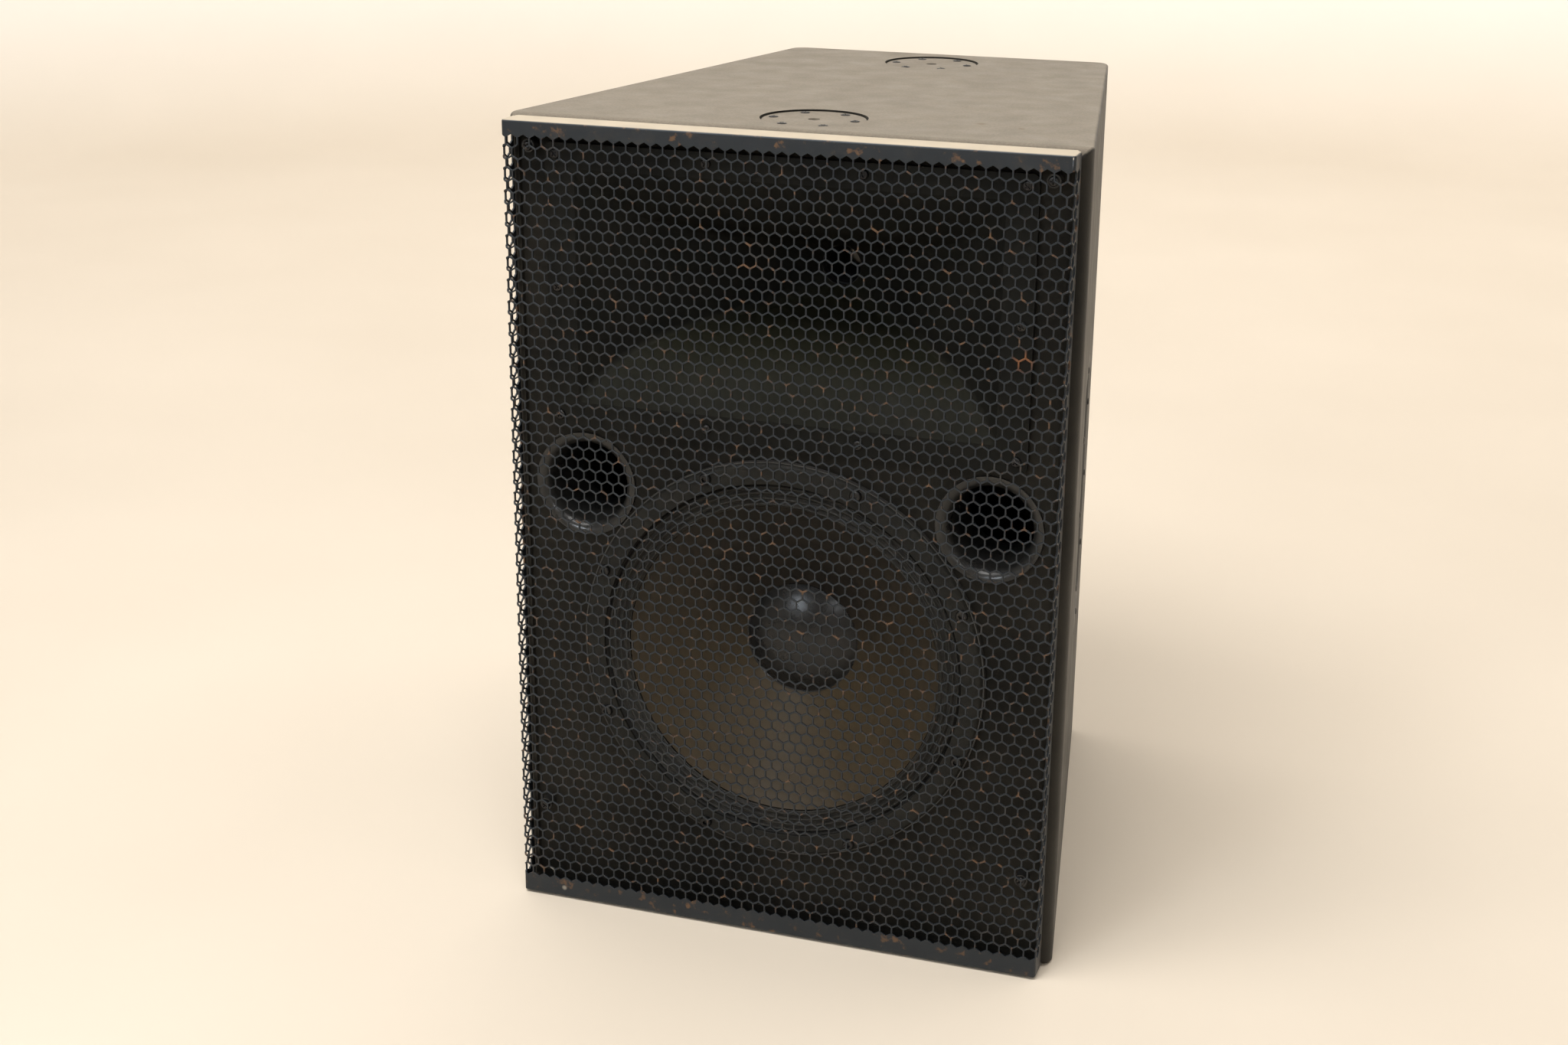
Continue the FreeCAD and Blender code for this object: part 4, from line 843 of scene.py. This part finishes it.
def build_ports():
    """Tubes with a rounded flare and a thin lip."""
    for side in ("left", "right"):
        node = f"{side}_port_tube"
        low, high = low_high(node)
        centre = middle(node)
        where = facing((centre.x, 0, centre.z), (1, 0, 0), (0, 0, 1))
        front = low.y
        throat, mouth, flare = 38.0, 49.0, 11.0
        inside = []
        for step in range(13):
            angle = math.pi / 2 * step / 12
            inside.append((front + flare - flare * math.cos(angle), mouth - flare * math.sin(angle)))
        outline = inside + [(high.y, throat), (high.y, throat + 2.5), (front + flare + 2, throat + 2.5)]
        outline += [(front + 3.2, mouth - 1.0), (front + 2, mouth + 0.2), (front + 0.4, mouth + 0.35),
                    (front - 0.2, mouth + 0.15)]
        bm = bmesh.new()
        turn_profile(bm, where, outline, 96)
        piece(f"{side}_port_flare", bm, node, crease=40)


# ---------------------------------------------------------------- rigging plates

def build_rigging():
    """Discs with a threaded centre hole, and six flat screws round each."""
    disc, boss, plate, screw_circle = 46.9, 15, 5, 38
    crest, root = 4.55, 4.25
    screws = bmesh.new()
    for node in ("top_front_rigging_plate", "top_rear_rigging_plate",
                 "bottom_front_rigging_plate", "bottom_rear_rigging_plate"):
        low, high = low_high(node)
        centre = middle(node)
        top = node.startswith("top")
        up = (0, 1, 0) if top else (0, -1, 0)
        where = facing((centre.x, centre.y, high.z if top else low.z), (1, 0, 0), up)
        depth = high.z - low.z
        corners = [(0, 5.1, 0.6), (0, disc, 0.8), (plate, disc, 0.3), (plate, boss), (depth, boss, 0.5)]
        outline = soften(corners)
        for step in range(13):
            outline.append((depth - step * (depth - 1.2) / 12, crest if step % 2 else root))
        bm = bmesh.new()
        turn_profile(bm, where, outline, 72)
        piece(node.replace("_plate", "_disc"), bm, node)
        for step in range(6):
            angle = math.radians(60 * step)
            a, b = screw_circle * math.cos(angle), screw_circle * math.sin(angle)
            flat_screw(screws, where, a, b, 0.0, 4.4)
    piece("rigging_flat_screws", screws, "rigging_screws")


def flat_screw(bm, where, a, b, seat, radius):
    """A countersunk head that ends a little proud of its surface."""
    recess = cross_slot(radius * 0.6, radius * 0.13, chance.uniform(0, math.pi / 2))
    stations = [(seat + 0.4, radius), (seat - 0.35, radius * 0.98), (seat - 0.75, radius * 0.86),
                (seat - 0.9, radius * 0.7), (seat - 0.9, recess), (seat + 0.2, recess)]
    rings = [ring(where, SCREW_SIDES, a, b, depth, size) for depth, size in stations]
    skin(bm, rings)


# ---------------------------------------------------------------- linings

def islands(bm):
    """The indices of the vertices of each separate solid."""
    found, met = [], set()
    for start in bm.verts:
        if start.index in met:
            continue
        group, edge = {start.index}, [start]
        while edge:
            vertex = edge.pop()
            for link in vertex.link_edges:
                other = link.other_vert(vertex)
                if other.index not in group:
                    group.add(other.index)
                    edge.append(other)
        met |= group
        found.append(group)
    return found


def welded(mesh):
    """The mesh as a bmesh with its doubled vertices joined."""
    bm = bmesh.new()
    bm.from_mesh(mesh)
    bmesh.ops.remove_doubles(bm, verts=bm.verts, dist=1e-5)
    bm.verts.index_update()
    return bm


def build_linings():
    """The wool pads inside the walls: the CAD pads with rounded edges and an uneven, quilted face."""
    source = frame["nodes"]["wall_linings"].data
    whole = welded(source)
    pads = islands(whole)
    whole.free()
    shrink, quilt = 0.0004, 0.0022
    for number, members in enumerate(pads):
        bm = welded(source)
        bmesh.ops.delete(bm, geom=[v for v in bm.verts if v.index not in members], context="VERTS")
        pad = piece(f"wool_pad_{number}", bm, "wall_linings", crease=180)
        remesh = pad.modifiers.new("remesh", "REMESH")
        remesh.mode = "VOXEL"
        remesh.voxel_size = 0.005
        rounding = pad.modifiers.new("rounding", "SMOOTH")
        rounding.factor = 0.6
        rounding.iterations = 6
        seen = pad.evaluated_get(bpy.context.evaluated_depsgraph_get())
        pad.data = bpy.data.meshes.new_from_object(seen)
        pad.modifiers.clear()
        # Crossed waves press the faces in like quilting.
        for vertex in pad.data.vertices:
            x, y, z = vertex.co
            wave = 0.5 + 0.5 * math.sin(x * 83 + 1.7 * math.sin(z * 31)) * math.sin(z * 71 + y * 77)
            vertex.co -= vertex.normal * (shrink + quilt * wave)
        pad.data.shade_smooth()


# ---------------------------------------------------------------- handles

# Outlines of the dish, lip to floor and back behind it: half width, half height, corner and depth.
DISH_FACE = (
    (75, 132, 25, 2.5), (75, 132, 25, 0.5), (74.4, 131.4, 24.6, 0.05), (68.5, 125.5, 18, 0.05),
    (66.2, 123.2, 16.6, 0.7), (64.2, 121.2, 15, 2.4), (63.2, 120.2, 14, 6), (61.8, 118.6, 13, 50),
    (60.4, 117.2, 12, 54.5), (56.5, 113.4, 9, 57.1), (50, 107, 7, 57.5),
)
DISH_BACK = (
    (50, 107, 7, 60), (58, 115, 12, 59.6), (63.6, 120.4, 15, 55.8), (65.6, 122.6, 16, 50),
    (65.9, 122.9, 16, 2.5),
)
BAR_END = 120.3


def bar_stations():
    """Height and radius along the grip bar: ferrules at the ends and shallow ribs between."""
    foot = [(-BAR_END, 14), (-BAR_END + 2.5, 14), (-BAR_END + 3.5, 11.4), (-86, 11), (-85, 12.4)]
    ribs = [(-84 + 168 * step / 68, 12.6 if step % 2 else 11.7) for step in range(69)]
    return foot + ribs + [(-height, radius) for height, radius in reversed(foot)]


def build_handles():
    """A pressed dish, an upright ribbed bar and eight lip screws in each side wall."""
    width_front, width_back, front_edge, back_edge = 536, 345, -266, 286
    slope = math.atan((width_front - width_back) / 2 / (back_edge - front_edge))
    centre_y, centre_z = 50.0, 364.0
    bar_depth, bar_sides = 24, 40
    floor_middle = (20, 60, 8)
    screws = bmesh.new()
    for side, sign in (("left", -1), ("right", 1)):
        out = width_front / 2 - math.tan(slope) * (centre_y - front_edge)
        tangent = Vector((-math.sin(slope) * sign, math.cos(slope), 0)) * sign
        where = facing((sign * out, centre_y, centre_z), tangent, (0, 0, 1))

        def loop(across, up, corner, depth):
            corners = ((-across, -up), (across, -up), (across, up), (-across, up))
            rounded = soften([(a, b, corner * 1.25) for a, b in corners], 10)
            return [where(a, b, depth) for a, b in rounded]

        bm = bmesh.new()
        skin(bm, [loop(*station) for station in DISH_FACE + DISH_BACK], caps=False)
        for edge in (DISH_FACE[-1], DISH_BACK[0]):
            flat_end(bm, loop(*edge), loop(*floor_middle, edge[-1]))
        skin(bm, [loop(*DISH_FACE[0]), loop(*DISH_BACK[-1])], caps=False)
        piece(f"{side}_handle_dish", bm, f"{side}_handle_cup", crease=40)

        bm = bmesh.new()
        rings = []
        for height, radius in bar_stations():
            turns = [2 * math.pi * k / bar_sides for k in range(bar_sides)]
            rings.append([where(radius * math.cos(t), height, bar_depth + radius * math.sin(t))
                          for t in turns])
        skin(bm, rings)
        piece(f"{side}_handle_ribbed_bar", bm, f"{side}_handle_bar", crease=30)

        lip = [(across * 70.5, share * 123) for across in (-1, 1) for share in (-0.62, 0, 0.62)]
        for a, b in lip + [(0, -127.5), (0, 127.5)]:
            screw_head(screws, where, a, b, 0.05, 3.4, 1.0)
    piece("handle_lip_screws", screws, "handle_screws")


def flat_end(bm, outer, inner):
    """A flat end: one band between two loops, then a face over the rest."""
    rows = skin(bm, [outer, inner], caps=False)
    bm.faces.new(rows[-1])


# ---------------------------------------------------------------- surroundings

def build_stage():
    """A plain pale floor that curves up into a plain pale wall all the way round."""
    bm = bmesh.new()
    flat, bend, top, count = 4.3, 1.2, 4.8, 72
    outline = [(1.5, 0.0), (flat, 0.0)]
    for step in range(1, 13):
        angle = math.pi / 2 * step / 12
        outline.append((flat + bend * math.sin(angle), bend - bend * math.cos(angle)))
    outline.append((flat + bend, top))
    turns = [2 * math.pi * k / count for k in range(count)]
    rings = [[Vector((reach * math.cos(t), reach * math.sin(t), z)) for t in turns] for reach, z in outline]
    rows = skin(bm, rings, caps=False)
    bm.faces.new(rows[0])
    bmesh.ops.recalc_face_normals(bm, faces=bm.faces)
    mesh = bpy.data.meshes.new("studio_floor")
    bm.to_mesh(mesh)
    bm.free()
    mesh.shade_smooth()
    floor = bpy.data.objects.new("studio_floor", mesh)
    bpy.context.collection.objects.link(floor)
    material, tree, shader, coordinates = new_shader("pale_studio_floor")
    patches = noise(tree, coordinates, 1.3, 2.0)
    floor_shade = ramp(tree, patches, [(0.3, (0.60, 0.525, 0.43)), (0.7, (0.63, 0.555, 0.46))])
    wall_shade = ramp(tree, patches, [(0.3, (0.80, 0.765, 0.715)), (0.7, (0.82, 0.785, 0.735))])
    split = tree.nodes.new("ShaderNodeSeparateXYZ")
    tree.links.new(coordinates, split.inputs["Vector"])
    rise = spread(tree, split.outputs["Z"], 0.0, 1.0, 0.0, 0.5)
    tree.links.new(blend_colours(tree, rise, floor_shade, wall_shade), shader.inputs["Base Color"])
    shader.inputs["Roughness"].default_value = 0.7
    mesh.materials.append(material)


def area_light(name, place, target, size, power, colour):
    """A rectangular light that faces a target."""
    light = bpy.data.lights.new(name, "AREA")
    light.shape = "RECTANGLE"
    light.size, light.size_y = size
    light.energy = power
    light.color = colour
    obj = bpy.data.objects.new(name, light)
    obj.location = place
    obj.rotation_euler = (Vector(target) - Vector(place)).to_track_quat("-Z", "Y").to_euler()
    bpy.context.collection.objects.link(obj)


def build_lights():
    """A soft light overhead, two small window lights in front, and six that wash the wall."""
    world = bpy.data.worlds.new("studio_world")
    world.use_nodes = True
    background = world.node_tree.nodes["Background"]
    background.inputs["Color"].default_value = (1.0, 0.97, 0.93, 1.0)
    background.inputs["Strength"].default_value = 0.12
    bpy.context.scene.world = world
    cabinet = (0, -0.25, 0.3)
    area_light("overhead_light", (-0.35, -1.25, 3.0), (0, -0.2, 0.3), (2.0, 1.4), 96, (1.0, 0.985, 0.96))
    area_light("left_window_light", (-1.0, -3.1, 1.75), cabinet, (0.75, 0.55), 24, (0.82, 0.91, 1.0))
    area_light("right_window_light", (1.5, -2.7, 1.8), cabinet, (0.5, 0.4), 8, (0.9, 0.95, 1.0))
    for number in range(6):
        angle = math.radians(30 + 60 * number)
        outward = Vector((math.cos(angle), math.sin(angle), 0))
        place, target = outward * 2.6 + Vector((0, 0, 4.4)), outward * 5.4 + Vector((0, 0, 0.9))
        power = 104 if number < 3 else 14
        area_light(f"wall_light_{number}", place, target, (2.4, 0.8), power, (1.0, 0.98, 0.95))


def build_camera():
    """The photograph's camera, solved from the corners of the grille and the top."""
    camera = bpy.data.cameras.new("photo_camera")
    camera.sensor_width = 36.0
    camera.lens = 51.92
    camera.clip_start = 0.05
    obj = bpy.data.objects.new("photo_camera", camera)
    right = Vector((0.94729073, 0.32025505, 0.0087741))
    down = Vector((0.11177494, -0.30470795, -0.94586438))
    forward = Vector((-0.30024431, 0.89698928, -0.3244435))
    turn = Matrix((right, -down, -forward)).transposed()
    obj.matrix_world = Matrix.Translation((0.61636, -2.09866, 1.0724)) @ turn.to_4x4()
    bpy.context.collection.objects.link(obj)
    bpy.context.scene.camera = obj


finish_cad_nodes()
build_grille()
build_screws()
build_woofer()
build_pleated_rings()
build_ports()
build_rigging()
build_linings()
build_handles()
build_stage()
build_lights()
build_camera()
bpy.context.scene.view_settings.view_transform = "Standard"
